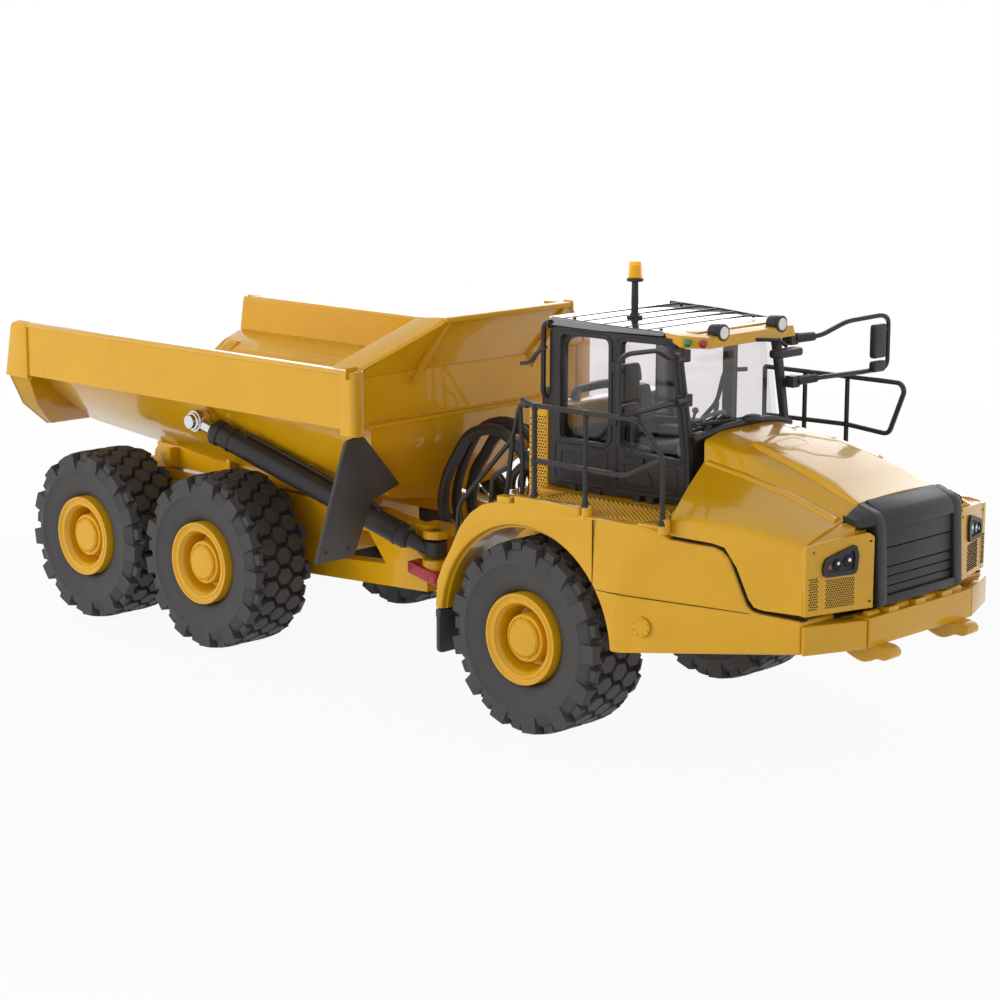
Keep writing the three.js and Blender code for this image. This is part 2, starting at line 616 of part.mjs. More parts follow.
function hoodShell() {
  const last = HOOD.length - 1;
  const skin = loft(HOOD.map((s) => hoodRing(s, 0, 0)));
  const inside = loft(HOOD.map((s, i) => hoodRing(s, HOOD_WALL, i === 0 ? -4 : i === last ? -1 : 0)));
  const lampPanels = prismZ([
    [58, -27.4], [59, -27.4], [63, -13.2], [63, 13.2], [59, 27.4], [58, 27.4],
  ], 31, 44);
  const panelRoof = both(convex([
    [58, -13.2, 44], [58, -27.4, 44], [59, -27.4, 43.9], [63, -13.2, 44], [58.6, -17, 46.5],
    [60.6, -17, 46.2], [58.6, -13.2, 46.6], [61.5, -13.2, 46.2],
  ]));
  const grilleBay = box(50, 70, -13, 13, 20, 52).subtract(box(50, 58.6, -13, 13, 46, 52));
  const foot = BUMPER.top + 1.1;
  const side = [
    [10, 20], [10, HOOD_LINE[0][1] + 0.5], ...HOOD_LINE.map(([x, z]) => [x, z + 0.5]),
    [NOSE_X + 0.5, foot], [70, foot], [70, 20],
  ];
  return skin.subtract(inside).add(lampPanels).add(panelRoof).subtract(grilleBay)
    .subtract(prismY(side, -FAR, FAR));
}
piece('hood_shell', hoodShell(), yellow);

function grille() {
  const half = 13 - GAP;
  const face = prismY([
    [61.2, 31.4], [64.1, 31.4], [63.4, 46.6], [62.4, 48.2], [58.9, 49.3], [58.9, 47], [61.2, 45.6],
  ], -half, half);
  const recess = box(63.2, 66, -10, 10, 33, 45);
  const ribs = [34.6, 36.4, 38.2, 40, 41.8, 43.6].map((z) => box(63, 63.8, -10.2, 10.2, z, z + 0.6));
  const wing = convex([
    [58.9, -12.4, 49], [62.2, -12.4, 48.2], [62.9, -12.4, 46.7], [59.2, -17.2, 47.8], [60.9, -17, 46.7],
    [58.9, -12.4, 46.9], [59.2, -16.8, 46.9],
  ]);
  return join(face.subtract(recess), ...ribs, both(wing));
}
piece('grille', grille(), black);

// a lamp lies on the slanted panel beside the grille
const LAMP_TILT = Math.atan2(14.2, 4); // of the panel's plan line against the X axis
function headlight() {
  const along = [Math.cos(LAMP_TILT), Math.sin(LAMP_TILT)];
  const out = [Math.sin(LAMP_TILT), -Math.cos(LAMP_TILT)];
  const at = (s, d, z) => [59 + along[0] * s + out[0] * d, -27.4 + along[1] * s + out[1] * d, z];
  const corners = [[3.6, 37.8], [3.8, 41], [10.4, 42.8], [10.6, 37.8]];
  return convex([GAP, 1].flatMap((d) => corners.map(([s, z]) => at(s, d, z))));
}
pair('headlight', headlight(), black);

piece('engine', box(28, 52, -FRAME_HALF, FRAME_HALF, FRAME_TOP + GAP, 46), grey);

// ---------------------------------------------------------------- cab

function cabBlock(inset, low, top) {
  const { rear, pillar, front, lean, rearY, frontY } = CAB;
  const plan = [
    [rear + inset, -rearY + inset], [pillar, -rearY + inset], [front - inset, -frontY + inset],
    [front - inset, frontY - inset], [pillar, rearY - inset], [rear + inset, rearY - inset],
  ];
  const side = [
    [rear - 1, 0], [front - inset + 0.5, 0], [front - inset - 0.5, SILL_Z], [front - inset - lean, CAB_TOP],
    [front - inset - lean, top + 1], [rear - 1, top + 1],
  ];
  return prismZ(plan, low, top).intersect(prismY(side, -40, 40));
}

const CAB_LOW = DECK_Z + GAP;
const HEADER_Z = CAB_TOP - 1.8; // top edge of the windows
const SIDE_WINDOWS = [
  [[-5.6, 53.6], [-6.6, 57], [-6.6, HEADER_Z], [4.6, HEADER_Z], [5.4, HEADER_Z - 0.8], [5.4, 53.6]],
  [[8.4, 53.4], [9.2, 52.6], [21, 52], [18.6, HEADER_Z - 0.8], [17.8, HEADER_Z], [8.4, HEADER_Z]],
];

function cabShell() {
  let shell = cabBlock(0, CAB_LOW, CAB_TOP).subtract(cabBlock(CAB.wall, CAB_LOW - 1, CAB_TOP + 1));
  for (const window of SIDE_WINDOWS) shell = shell.subtract(prismY(window, -40, 40));
  const rearWindow = box(CAB.rear - 2, CAB.rear + 3, -13.5, 13.5, 54, HEADER_Z - 0.7);
  const windscreen = box(CAB.front - 7, CAB.front + 3, -12.6, 12.6, 56, HEADER_Z);
  return shell.subtract(rearWindow).subtract(windscreen);
}
piece('cab_shell', cabShell(), black);

function cabGlazing() {
  const outside = CAB.wall + GAP;
  return cabBlock(outside, SILL_Z - 2, CAB_TOP - 1).subtract(cabBlock(outside + 0.7, SILL_Z - 3, CAB_TOP));
}
piece('cab_glazing', cabGlazing(), glass);

const ROOF_TOP = CAB_TOP + 1.9;

function cabRoof() {
  const { rear, rearY, frontY } = CAB;
  const back = rear - 0.6;
  const front = 17;
  const plan = [
    [back, -rearY - 0.5], [4, -rearY - 0.5], [front, -frontY - 0.7], [front, frontY + 0.7],
    [4, rearY + 0.5], [back, rearY + 0.5],
  ];
  const slope = prismY([
    [-20, ROOF_TOP + 0.1], [-20, ROOF_TOP + 5], [30, ROOF_TOP + 5], [30, CAB_TOP + GAP],
  ], -FAR, FAR);
  return prismZ(plan, CAB_TOP + GAP, ROOF_TOP).subtract(slope);
}
piece('cab_roof', cabRoof(), black);

function visor() {
  const back = 17 + GAP;
  const lip = 25.9;
  const plan = [[back, -15.5], [21.8, -15.7], [lip, -12.6], [lip, 12.6], [21.8, 15.7], [back, 15.5]];
  const side = [
    [back, CAB_TOP + GAP], [20.5, CAB_TOP + GAP], [20.9, CAB_TOP - 1.4], [lip, CAB_TOP - 1.4],
    [lip, CAB_TOP], [lip - 0.9, CAB_TOP + 0.6], [back, CAB_TOP + 1.3],
  ];
  const lampZ = CAB_TOP + 1.2;
  const lamps = both(join(
    cylinder([22.2, -8.6, lampZ], [25.6, -8.6, lampZ], 1.6, 16),
    box(22.6, 24.6, -9.4, -7.8, CAB_TOP - 0.5, lampZ),
  ));
  return prismZ(plan, CAB_TOP - 14, CAB_TOP + 6).intersect(prismY(side, -FAR, FAR)).add(lamps);
}
piece('roof_visor', visor(), yellow);

const BEACON = { x: 1.9, y: -6 };
function beaconSolid() {
  const at = (rise) => [BEACON.x, BEACON.y, ROOF_TOP + rise];
  return join(
    cylinder(at(0), at(0.9), 1.4, 12), cylinder(at(0.6), at(6.9), 0.75, 10),
    cylinder(at(6.7), at(7.1), 1.6, 12), cylinder(at(7), at(10.4), 1.35, 12, 1.1),
  );
}
piece('beacon', beaconSolid(), amber);

function cabFloor() {
  const plate = cabBlock(CAB.wall + GAP, CAB_LOW + 0.2, CAB_LOW + 1.6);
  const dash = box(17, CAB.front - 4, -11, 11, CAB_LOW + 1, SILL_Z - 2.4);
  const column = cylinder([18, 0, SILL_Z - 4], [14.5, 0, SILL_Z + 3.5], 0.9, 10);
  const wheel = cylinder([14.7, 0, SILL_Z + 3], [14.2, 0, SILL_Z + 4.1], 4, 20);
  return join(plate, dash, column, wheel);
}
piece('cab_floor', cabFloor(), grey);

piece('operator_seat', join(
  box(-1, 3, -2.5, 2.5, CAB_LOW + 1.6 + GAP, 48), box(-3, 7, -5, 5, 47.5, 50.5),
  prismY([[-3, 50], [0, 50], [-2.4, 63], [-5, 63]], -5, 5),
), black);

piece('cooling_box', box(CAB.rear - 5.2, CAB.rear - GAP, -17.3, 17.3, FRAME_TOP + 5 + GAP, 58.5)
  .add(cylinder([CAB.rear - 2.8, -13, 58], [CAB.rear - 2.8, -13, 62], 2.2, 14)), yellow);

// ---------------------------------------------------------------- rails, steps and mirrors

const RAIL_Y = SIDE_Y - 0.7;
const BAR_R = 0.55;
const POST_Z = DECK_Z + GAP;

function rightRail() {
  const at = (points) => points.map(([x, z]) => [x, -RAIL_Y, z]);
  return join(
    bar(at([[-1, 63], [1.4, 62.2], [27.2, 62.4], [32.6, 56.4], [32.6, POST_Z]]), BAR_R),
    bar(at([[2.2, 52.1], [24, 52.1], [32.6, 56.2]]), BAR_R),
    ...[2.2, 14.6].map((x) => bar(at([[x, 62.2], [x, POST_Z]]), BAR_R)),
  );
}

function leftRail() {
  const at = (points) => points.map(([x, z]) => [x, RAIL_Y, z]);
  return join(
    bar(at([[2.2, 62.3], [35, 62.4], [35.6, 60.8], [32.3, 52.2], [22.4, 53], [2.2, 52.6]]), BAR_R),
    ...[2.2, 12.2, 22.4].map((x) => bar(at([[x, 62.3], [x, POST_Z]]), BAR_R)),
  );
}
piece('handrail_right', rightRail(), black);
piece('handrail_left', leftRail(), black);

// bars beside the steps at the back of each fender
function stepBars() {
  const y = -30;
  const [footX, footZ] = aroundArch(4.5, 146.4);
  const kneeX = footX + 0.4;
  const [midX, midZ] = aroundArch(5.2, 108.6);
  const [lowX, lowZ] = aroundArch(5.3, 117.9);
  return join(
    bar([[-5.4, y, 61], [-6.8, y, 54.6], [kneeX, y, 40.2], [footX, y, footZ]], BAR_R),
    bar([[-6.8, y, 54.6], [midX, y, midZ]], BAR_R),
    bar([[-5.4, y, 61], [-1, -RAIL_Y + 1.6, 61.6]], BAR_R),
    bar([[-7.6, y, 49.2], [lowX + 0.2, y, 47], [lowX, y, lowZ]], BAR_R),
  );
}
pair('step_bar', stepBars(), black);

// side mirror on a frame that reaches out from the cab's front corner
function mirrorFrame() {
  const x = 27.4;
  const outY = -40.2 + BAR_R;
  const armTop = CAB_TOP - 2.6;
  const armLow = 63.4;
  const frame = bar([
    [CAB.front - 1.6, -CAB.frontY - 0.9, armTop], [24.4, -22, armTop + 0.2], [26, -28, armTop + 2.6],
    [x, -39, armTop + 3], [x, outY, armTop + 1.6], [x, outY, armLow + 0.6], [24.6, -22, armLow + 0.4],
    [CAB.front - 0.9, -CAB.frontY - 0.9, armLow],
  ], BAR_R);
  const heads = join(
    box(x - 0.9, x + 0.6, -38.6, -34.6, armLow + 2.6, armTop + 1.4),
    box(x - 0.9, x + 0.6, -38.6, -34.8, armLow, armLow + 2.2),
    box(x - 0.4, x + 0.2, -40, -38, armLow + 0.8, armLow + 1.4),
    box(x - 0.4, x + 0.2, -40, -38, armTop - 2.2, armTop - 1.6),
  );
  return join(frame, heads);
}
pair('mirror', mirrorFrame(), black);

// round mirror on an arm under the visor, for the view over the hood
const LOOK_DOWN_Z = CAB_TOP - 3.2;
piece('front_mirror', join(
  bar([[24.4, 5.6, CAB_TOP - 2], [27.2, 7, CAB_TOP - 2.6], [27.6, 8.4, LOOK_DOWN_Z]], BAR_R),
  box(26.2, 28.6, 6, 11.6, LOOK_DOWN_Z - 1.4, LOOK_DOWN_Z),
), black);

export default model;
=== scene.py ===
# %% [markdown]
# # A 1:50 articulated dump truck, built around its CAD frame
# The model is a die-cast toy-sized truck: a front unit with cab and hood, a hitch that steers and
# twists, and a rear frame with two axles and a tipping body. The CAD frame gives every body, joint
# and size. This lesson makes the surfaces that the eye sees: paint, rubber, glass, tread and bolts.

# %% The frame
import json
import math

import bmesh
import bpy
from mathutils import Matrix, Vector

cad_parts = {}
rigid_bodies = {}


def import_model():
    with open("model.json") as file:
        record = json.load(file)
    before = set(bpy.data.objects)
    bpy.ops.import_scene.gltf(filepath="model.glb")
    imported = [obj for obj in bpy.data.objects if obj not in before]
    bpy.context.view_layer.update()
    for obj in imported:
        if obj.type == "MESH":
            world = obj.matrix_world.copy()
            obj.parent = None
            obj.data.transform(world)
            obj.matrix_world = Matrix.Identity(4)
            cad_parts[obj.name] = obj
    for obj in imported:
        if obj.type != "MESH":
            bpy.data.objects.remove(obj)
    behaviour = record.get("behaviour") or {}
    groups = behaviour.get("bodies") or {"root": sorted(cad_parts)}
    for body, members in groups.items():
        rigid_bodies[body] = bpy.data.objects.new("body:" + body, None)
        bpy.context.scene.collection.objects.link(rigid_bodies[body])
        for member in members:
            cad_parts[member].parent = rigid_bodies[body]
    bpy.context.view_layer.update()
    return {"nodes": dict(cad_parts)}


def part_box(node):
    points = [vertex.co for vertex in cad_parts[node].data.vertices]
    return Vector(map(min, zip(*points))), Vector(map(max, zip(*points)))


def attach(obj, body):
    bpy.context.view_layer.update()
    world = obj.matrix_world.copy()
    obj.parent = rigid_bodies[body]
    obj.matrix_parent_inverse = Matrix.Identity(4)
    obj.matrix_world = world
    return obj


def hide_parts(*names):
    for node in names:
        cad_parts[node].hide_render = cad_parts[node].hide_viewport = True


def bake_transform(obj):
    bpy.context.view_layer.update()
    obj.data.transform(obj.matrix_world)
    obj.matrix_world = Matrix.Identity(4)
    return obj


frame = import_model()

# %% [markdown]
# ## One drawing frame in millimetres
# The real model is only 228 mm long, so its parts are easiest to draw in millimetres. The front axle
# is a natural zero for x, because every length on the truck is measured from a wheel. One matrix then
# carries a finished mesh to the row's frame in metres. Doing it once, at the end, keeps every object
# at the origin, unturned and unscaled, which the materials and the export need.

# %% Millimetres from the front axle to metres in the row
MM = 0.001
tyre_low, tyre_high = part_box("tyre_front_right")
TYRE_R = (tyre_high.z - tyre_low.z) / 2 / MM
AXLE_Z = (tyre_high.z + tyre_low.z) / 2 / MM
TO_ROW = Matrix.Translation(((tyre_low.x + tyre_high.x) / 2, 0, 0)) @ Matrix.Scale(MM, 4)


def node_box(node):
    """A CAD node's corners in the drawing frame."""
    back = TO_ROW.inverted()
    low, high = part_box(node)
    return back @ low, back @ high


print(f"tyre radius {TYRE_R:.2f} mm, axle height {AXLE_Z:.2f} mm, front axle at x {TO_ROW.translation.x:.4f} m")

# %% [markdown]
# ## The camera
# A product picture of a scale model is taken with a long lens from about two metres of real distance
# scaled down, so that lines stay almost parallel. The camera could be aimed by eye, but this one is
# solved, with its turn, tilt, distance and lens. Moving it a little sideways and up, without turning it,
# puts the truck where it stands in the frame.

# %% Camera
AZIMUTH, ELEVATION, ROLL = math.radians(43.558), math.radians(11.304), math.radians(0.123)
FOCAL_PX, DISTANCE = 2585.37, 505.505  # lens in image widths of 1000, and mm from the front axle
ORIGIN_PX = Vector((642.53, 698.67))  # where the point under the front axle falls
back = Vector((
    math.sin(AZIMUTH) * math.cos(ELEVATION), -math.cos(AZIMUTH) * math.cos(ELEVATION), math.sin(ELEVATION),
))
right = Vector((math.cos(AZIMUTH), math.sin(AZIMUTH), 0))
up = back.cross(right)
right, up = (right * math.cos(ROLL) + up * math.sin(ROLL), up * math.cos(ROLL) - right * math.sin(ROLL))
offset = (ORIGIN_PX - Vector((500, 500))) * DISTANCE / FOCAL_PX
place = back * DISTANCE - right * offset.x + up * offset.y
camera_data = bpy.data.cameras.new("camera")
camera_data.lens = camera_data.sensor_width * FOCAL_PX / 1000
camera_data.clip_start = 0.01
camera = bpy.data.objects.new("camera", camera_data)
bpy.context.scene.collection.objects.link(camera)
camera.matrix_world = Matrix.Translation(TO_ROW @ place) @ Matrix((right, up, back)).transposed().to_4x4()
bpy.context.scene.camera = camera
print(f"lens {camera_data.lens:.1f} mm, camera at", [round(c, 3) for c in camera.location])

# %% [markdown]
# ## Floor, backdrop and light
# The model stands in a white studio with no horizon. A large white floor that shines white to the
# camera gives that background, and part of it stays ordinary matt white, so that the wheels still
# drop a soft shadow. Glossy and clear surfaces see the same white. The lamps stay at a plain level:
# a broad one above, a large one behind that shines along the roof and hood, and one behind the right
# rear wheel for the truck's right side.

# %% World, floor and lamps
scene = bpy.context.scene
scene.view_settings.view_transform = "Standard"
world = bpy.data.worlds.new("studio")
scene.world = world


def blank(data):
    """The nodes and links of a new material or world, with nothing in them yet."""
    data.use_nodes = True
    data.node_tree.nodes.clear()
    return data.node_tree.nodes, data.node_tree.links


def add(nodes, kind, **values):
    """A node with some of its input sockets or properties set."""
    node = nodes.new(kind)
    for key, value in values.items():
        if key in node.inputs:
            node.inputs[key].default_value = value
        else:
            setattr(node, key, value)
    return node


def seen_straight(nodes, links):
    """1 on camera, glossy and transmission rays, else 0."""
    path = add(nodes, "ShaderNodeLightPath")
    total = add(nodes, "ShaderNodeMath", operation="MAXIMUM")
    every = add(nodes, "ShaderNodeMath", operation="MAXIMUM")
    links.new(path.outputs["Is Camera Ray"], total.inputs[0])
    links.new(path.outputs["Is Transmission Ray"], total.inputs[1])
    links.new(total.outputs[0], every.inputs[0])
    links.new(path.outputs["Is Glossy Ray"], every.inputs[1])
    return every.outputs[0]


def ranged(nodes, links, source, span=(0, 1), gives=(0, 1)):
    """A value carried from one span to another and held at both ends."""
    node = add(nodes, "ShaderNodeMapRange")
    for key, value in zip(("From Min", "From Max", "To Min", "To Max"), (*span, *gives)):
        node.inputs[key].default_value = value
    links.new(source, node.inputs["Value"])
    return node.outputs["Result"]


def mix_out(nodes, links, share, first, second, kind="Material"):
    """Sends two shaders to the output: only the first where the share is 0, only the second where it is 1."""
    mix = add(nodes, "ShaderNodeMixShader")
    out = add(nodes, f"ShaderNodeOutput{kind}")
    links.new(share, mix.inputs[0])
    links.new(first.outputs[0], mix.inputs[1])
    links.new(second.outputs[0], mix.inputs[2])
    links.new(mix.outputs[0], out.inputs[0])


nodes, links = blank(world)
where = add(nodes, "ShaderNodeTexCoord")
height = add(nodes, "ShaderNodeSeparateXYZ")
links.new(where.outputs["Generated"], height.inputs[0])
sky = add(nodes, "ShaderNodeBackground", Color=(1, 1, 1, 1))
links.new(ranged(nodes, links, height.outputs["Z"], (0.3, 0.68), (1.44, 0.14)), sky.inputs["Strength"])
white = add(nodes, "ShaderNodeBackground", Color=(1, 1, 1, 1), Strength=1.0)
mix_out(nodes, links, seen_straight(nodes, links), sky, white, "World")

floor_material = bpy.data.materials.new("floor_white")
nodes, links = blank(floor_material)
matt = add(nodes, "ShaderNodeBsdfDiffuse", Color=(0.8, 0.8, 0.8, 1))
glow = add(nodes, "ShaderNodeEmission", Color=(1, 1, 1, 1), Strength=1.0)
where = add(nodes, "ShaderNodeTexCoord")
away = add(nodes, "ShaderNodeVectorMath", operation="LENGTH")
share = add(nodes, "ShaderNodeMath", operation="MULTIPLY")
links.new(where.outputs["Object"], away.inputs[0])
links.new(seen_straight(nodes, links), share.inputs[0])
links.new(ranged(nodes, links, away.outputs["Value"], (0.12, 0.4), (0.93, 1.0)), share.inputs[1])
mix_out(nodes, links, share.outputs[0], matt, glow)

floor_bm = bmesh.new()
bmesh.ops.create_grid(floor_bm, x_segments=1, y_segments=1, size=4)
floor_mesh = bpy.data.meshes.new("floor")
floor_bm.to_mesh(floor_mesh)
floor_bm.free()
floor_mesh.materials.append(floor_material)
floor = bpy.data.objects.new("floor", floor_mesh)
scene.collection.objects.link(floor)


def lamp(name, place, size, power):
    """A square soft box aimed at the middle of the truck."""
    data = bpy.data.lights.new(name, "AREA")
    data.size, data.energy = size, power
    thing = bpy.data.objects.new(name, data)
    scene.collection.objects.link(thing)
    aim = Vector((0, 0, 0.04)) - Vector(place)
    thing.matrix_world = Matrix.Translation(place) @ aim.to_track_quat("-Z", "Y").to_matrix().to_4x4()
    return thing


lamp("top_box", (-0.1, 0.25, 0.75), 0.7, 0.4).visible_glossy = False
lamp("back_wall", (-0.6, 0.85, 0.42), 0.9, 5.0)
lamp("rear_quarter", (-0.5, -0.78, 0.3), 0.5, 3.9).visible_glossy = False

# %% [markdown]
# ## Finishes
# A die-cast model has few finishes, and each is a thin, even layer: glossy enamel, satin black
# plastic, matt rubber, clear plastic and a little bright metal. Images of paint would be one way,
# but noise on Object coordinates gives the same slight unevenness at any size and from any side: a
# faint change of tone, a change of gloss, and a fine bump like orange peel or moulded grain.

# %% Procedural finishes


def srgb(r, g, b):
    """Linear colour from the 0..255 values a colour chart gives."""
    return [((c / 255 + 0.055) / 1.055) ** 2.4 if c > 10 else c / 255 / 12.92 for c in (r, g, b)] + [1.0]


def finish(name, color, tone=0.06, rough=(0.3, 0.36), patch=90, grain=2500, depth=0.00001, **shader):
    """A surface whose tone, gloss and bump change a little over its Object coordinates."""
    material = bpy.data.materials.new(name)
    material.use_nodes = True
    nodes, links = material.node_tree.nodes, material.node_tree.links
    main = nodes["Principled BSDF"]
    where = add(nodes, "ShaderNodeTexCoord")
    clouds = add(nodes, "ShaderNodeTexNoise", Scale=patch, Detail=4.0)
    fine = add(nodes, "ShaderNodeTexNoise", Scale=grain, Detail=2.0)
    links.new(where.outputs["Object"], clouds.inputs["Vector"])
    links.new(where.outputs["Object"], fine.inputs["Vector"])
    ramp = add(nodes, "ShaderNodeValToRGB")
    ramp.color_ramp.elements[0].position, ramp.color_ramp.elements[1].position = 0.35, 0.65
    ramp.color_ramp.elements[0].color = [c * (1 - tone) for c in color[:3]] + [1]
    ramp.color_ramp.elements[1].color = [min(1, c * (1 + tone)) for c in color[:3]] + [1]
    links.new(clouds.outputs["Fac"], ramp.inputs[0])
    links.new(ramp.outputs[0], main.inputs["Base Color"])
    links.new(ranged(nodes, links, clouds.outputs["Fac"], gives=rough), main.inputs["Roughness"])
    bump = add(nodes, "ShaderNodeBump", Strength=0.4, Distance=depth)
    links.new(fine.outputs["Fac"], bump.inputs["Height"])
    links.new(bump.outputs[0], main.inputs["Normal"])
    for socket, value in shader.items():
        main.inputs[socket.replace("_", " ")].default_value = value
    return material


def clear(name, tint, shine):
    """Clear plastic: what is behind shows through a tint, with a reflection that grows at grazing angles."""
    material = bpy.data.materials.new(name)
    nodes, links = blank(material)
    through = add(nodes, "ShaderNodeBsdfTransparent", Color=tint)
    gloss = add(nodes, "ShaderNodeBsdfGlossy", Color=(1, 1, 1, 1), Roughness=0.03)
    edge = add(nodes, "ShaderNodeLayerWeight", Blend=0.5)
    steep = add(nodes, "ShaderNodeMath", operation="POWER")
    steep.inputs[1].default_value = 4.0
    links.new(edge.outputs["Facing"], steep.inputs[0])
    wave = add(nodes, "ShaderNodeTexNoise", Scale=60)
    where = add(nodes, "ShaderNodeTexCoord")
    bump = add(nodes, "ShaderNodeBump", Strength=0.1, Distance=0.00002)
    links.new(where.outputs["Object"], wave.inputs["Vector"])
    links.new(wave.outputs["Fac"], bump.inputs["Height"])
    links.new(bump.outputs[0], gloss.inputs["Normal"])
    mix_out(nodes, links, ranged(nodes, links, steep.outputs[0], gives=shine), through, gloss)
    return material


FINISHES = {
    "enamel": finish("yellow_enamel", srgb(213, 159, 13), 0.03, (0.24, 0.32), Specular_IOR_Level=0.2,
                     Coat_Weight=0.55, Coat_Roughness=0.04),
    "satin": finish(
        "satin_black", srgb(41, 38, 38), 0.12, (0.36, 0.48), grain=5200, depth=0.00003, Specular_IOR_Level=0.4,
    ),
    "gloss": finish("gloss_black", srgb(34, 33, 35), 0.1, (0.1, 0.14), Coat_Weight=1.0, Coat_Roughness=0.03,
                    Coat_IOR=2.2, IOR=2.0),
    "rubber": finish("tyre_rubber", srgb(64, 62, 62), 0.1, (0.62, 0.78), patch=200, grain=3600, depth=0.00004),
    "flap": finish("flap_rubber", srgb(58, 55, 55), 0.1, (0.5, 0.62), patch=200, grain=3800, depth=0.00004),
    "grey": finish("moulded_grey", srgb(84, 84, 88), 0.1, (0.5, 0.62), grain=4000, depth=0.00003),
    "chrome": finish("chrome_plate", srgb(222, 222, 226), 0.03, (0.08, 0.16), Metallic=1.0),
    "mirror": finish("mirror_foil", srgb(226, 230, 234), 0.02, (0.03, 0.06), Metallic=1.0),
    "red": finish("red_paint", srgb(168, 22, 26), 0.08, (0.28, 0.36), Coat_Weight=0.4),
    "green": finish("green_lens", srgb(28, 132, 62), 0.08, (0.1, 0.16), Coat_Weight=0.6),
    "ruby": finish("ruby_lens", srgb(150, 22, 22), 0.08, (0.1, 0.16), Coat_Weight=0.6),
    "pearl": finish("white_lens", srgb(232, 232, 230), 0.05, (0.08, 0.14), Coat_Weight=0.8),
    # The amber dome also carries a faint painted glow through its emission, though the beacon is not lit.
    "amber_glow": finish("amber_dome_painted_glow", srgb(250, 186, 14), 0.05, (0.06, 0.1), Transmission_Weight=0.4, IOR=1.45,
                    Emission_Color=srgb(255, 186, 12), Emission_Strength=0.2),
    "lens": finish(
        "dark_lens", srgb(14, 13, 15), 0.2, (0.05, 0.1), Specular_IOR_Level=0.1, Coat_Weight=0.4,
        Coat_Roughness=0.02,
    ),
    # Painted shadow: a dark strip that stands in for the shade inside a shut line.
    "painted_gap_shade": finish("shadow_line", srgb(52, 36, 14), 0.1, (0.7, 0.8)),
    # Painted shade for perforations: the dark colour stands in for the shade inside a hole.
    "hole_shade": finish("painted_hole_shade", srgb(36, 28, 18), 0.1, (0.7, 0.8)),
    "glass": clear("clear_plastic", (0.94, 0.93, 0.94, 1), (0.03, 0.7)),
}
print("finishes:", ", ".join(FINISHES))

# %% [markdown]
# ## The workbench
# Every piece goes the same way: draw it in millimetres with bmesh operators, round its sharp edges a
# little, carry it to the row's frame, give it a finish, and let it ride on a body. A rounded edge is
# what tells the eye that a part is cast or moulded, because it catches a thin line of light.

# %% Drawing helpers


def points_of(bm):
    """The vertices so far, so that what a later step adds can be told apart."""
    return set(bm.verts)


def verts_since(bm, start):
    return [v for v in bm.verts if v not in start]


def faces_since(bm, start):
    return [f for f in bm.faces if all(v not in start for v in f.verts)]


def everything(bm):
    return bm.verts[:] + bm.edges[:] + bm.faces[:]


def only(geometry, kind):
    """The items of one kind in an operator's result."""
    return [g for g in geometry if isinstance(g, kind)]


def on_plane(bm, outline, axis, at):
    """Vertices for an outline on the plane across an axis. The outline gives the other two coordinates."""
    spot = {"x": lambda a, b: (at, a, b), "y": lambda a, b: (a, at, b), "z": lambda a, b: (a, b, at)}[axis]
    return [bm.verts.new(spot(a, b)) for a, b in outline]


def push(bm, faces, axis, depth):
    """Flat faces pushed along an axis into a solid."""
    grown = bmesh.ops.extrude_face_region(bm, geom=faces)["geom"]
    step = Vector((0, 0, 0))
    step["xyz".index(axis)] = depth
    bmesh.ops.translate(bm, vec=step, verts=only(grown, bmesh.types.BMVert))


def slab(bm, outline, axis, start, end):
    """A solid between two planes across an axis, with the outline for its section."""
    push(bm, [bm.faces.new(on_plane(bm, outline, axis, start))], axis, end - start)


def rect(low_a, low_b, high_a, high_b):
    """The outline of a rectangle, from its low corner to its high one."""
    return [(low_a, low_b), (high_a, low_b), (high_a, high_b), (low_a, high_b)]


def block(bm, low, high):
    """A box from its low corner to its high one."""
    slab(bm, rect(low[0], low[1], high[0], high[1]), "z", low[2], high[2])


def panel(bm, outline, holes, axis, start, end):
    """A slab with holes in it: the outlines are filled between, then pushed along the axis."""
    edges = []
    for loop in [outline, *holes]:
        ring = on_plane(bm, loop, axis, start)
        edges += [bm.edges.new((a, b)) for a, b in zip(ring, ring[1:] + ring[:1])]
    filled = bmesh.ops.triangle_fill(bm, use_beauty=True, edges=edges)["geom"]
    push(bm, only(filled, bmesh.types.BMFace), axis, end - start)


def rounded(corners, radius, steps=4):
    """An outline with each corner turned into an arc. A radius can be one number or one for each corner."""
    sizes = radius if isinstance(radius, (list, tuple)) else [radius] * len(corners)
    out = []
    for i, size in enumerate(sizes):
        here = Vector(corners[i])
        before, after = Vector(corners[i - 1]) - here, Vector(corners[(i + 1) % len(corners)]) - here
        if size <= 0:
            out.append(tuple(here))
            continue
        reach = min(size, before.length * 0.49, after.length * 0.49)
        a, b = here + before.normalized() * reach, here + after.normalized() * reach
        for k in range(steps + 1):
            t = k / steps
            out.append(tuple(a * (1 - t) ** 2 + here * 2 * t * (1 - t) + b * t ** 2))
    return out


def pad(bm, corners, radius, axis, start, end):
    """A slab with a rounded rectangle for its section."""
    slab(bm, rounded(rect(*corners), radius), axis, start, end)


def spun(bm, profile, steps):
    """A profile of (radius, y) turned once about the front axle."""
    ring = [bm.verts.new((0, y, AXLE_Z + radius)) for radius, y in profile]
    edges = [bm.edges.new(pair) for pair in zip(ring, ring[1:])]
    bmesh.ops.spin(
        bm, geom=ring + edges, cent=(0, 0, AXLE_Z), axis=(0, 1, 0), angle=math.tau, steps=steps, use_merge=True,
    )
    bmesh.ops.remove_doubles(bm, verts=bm.verts, dist=1e-4)


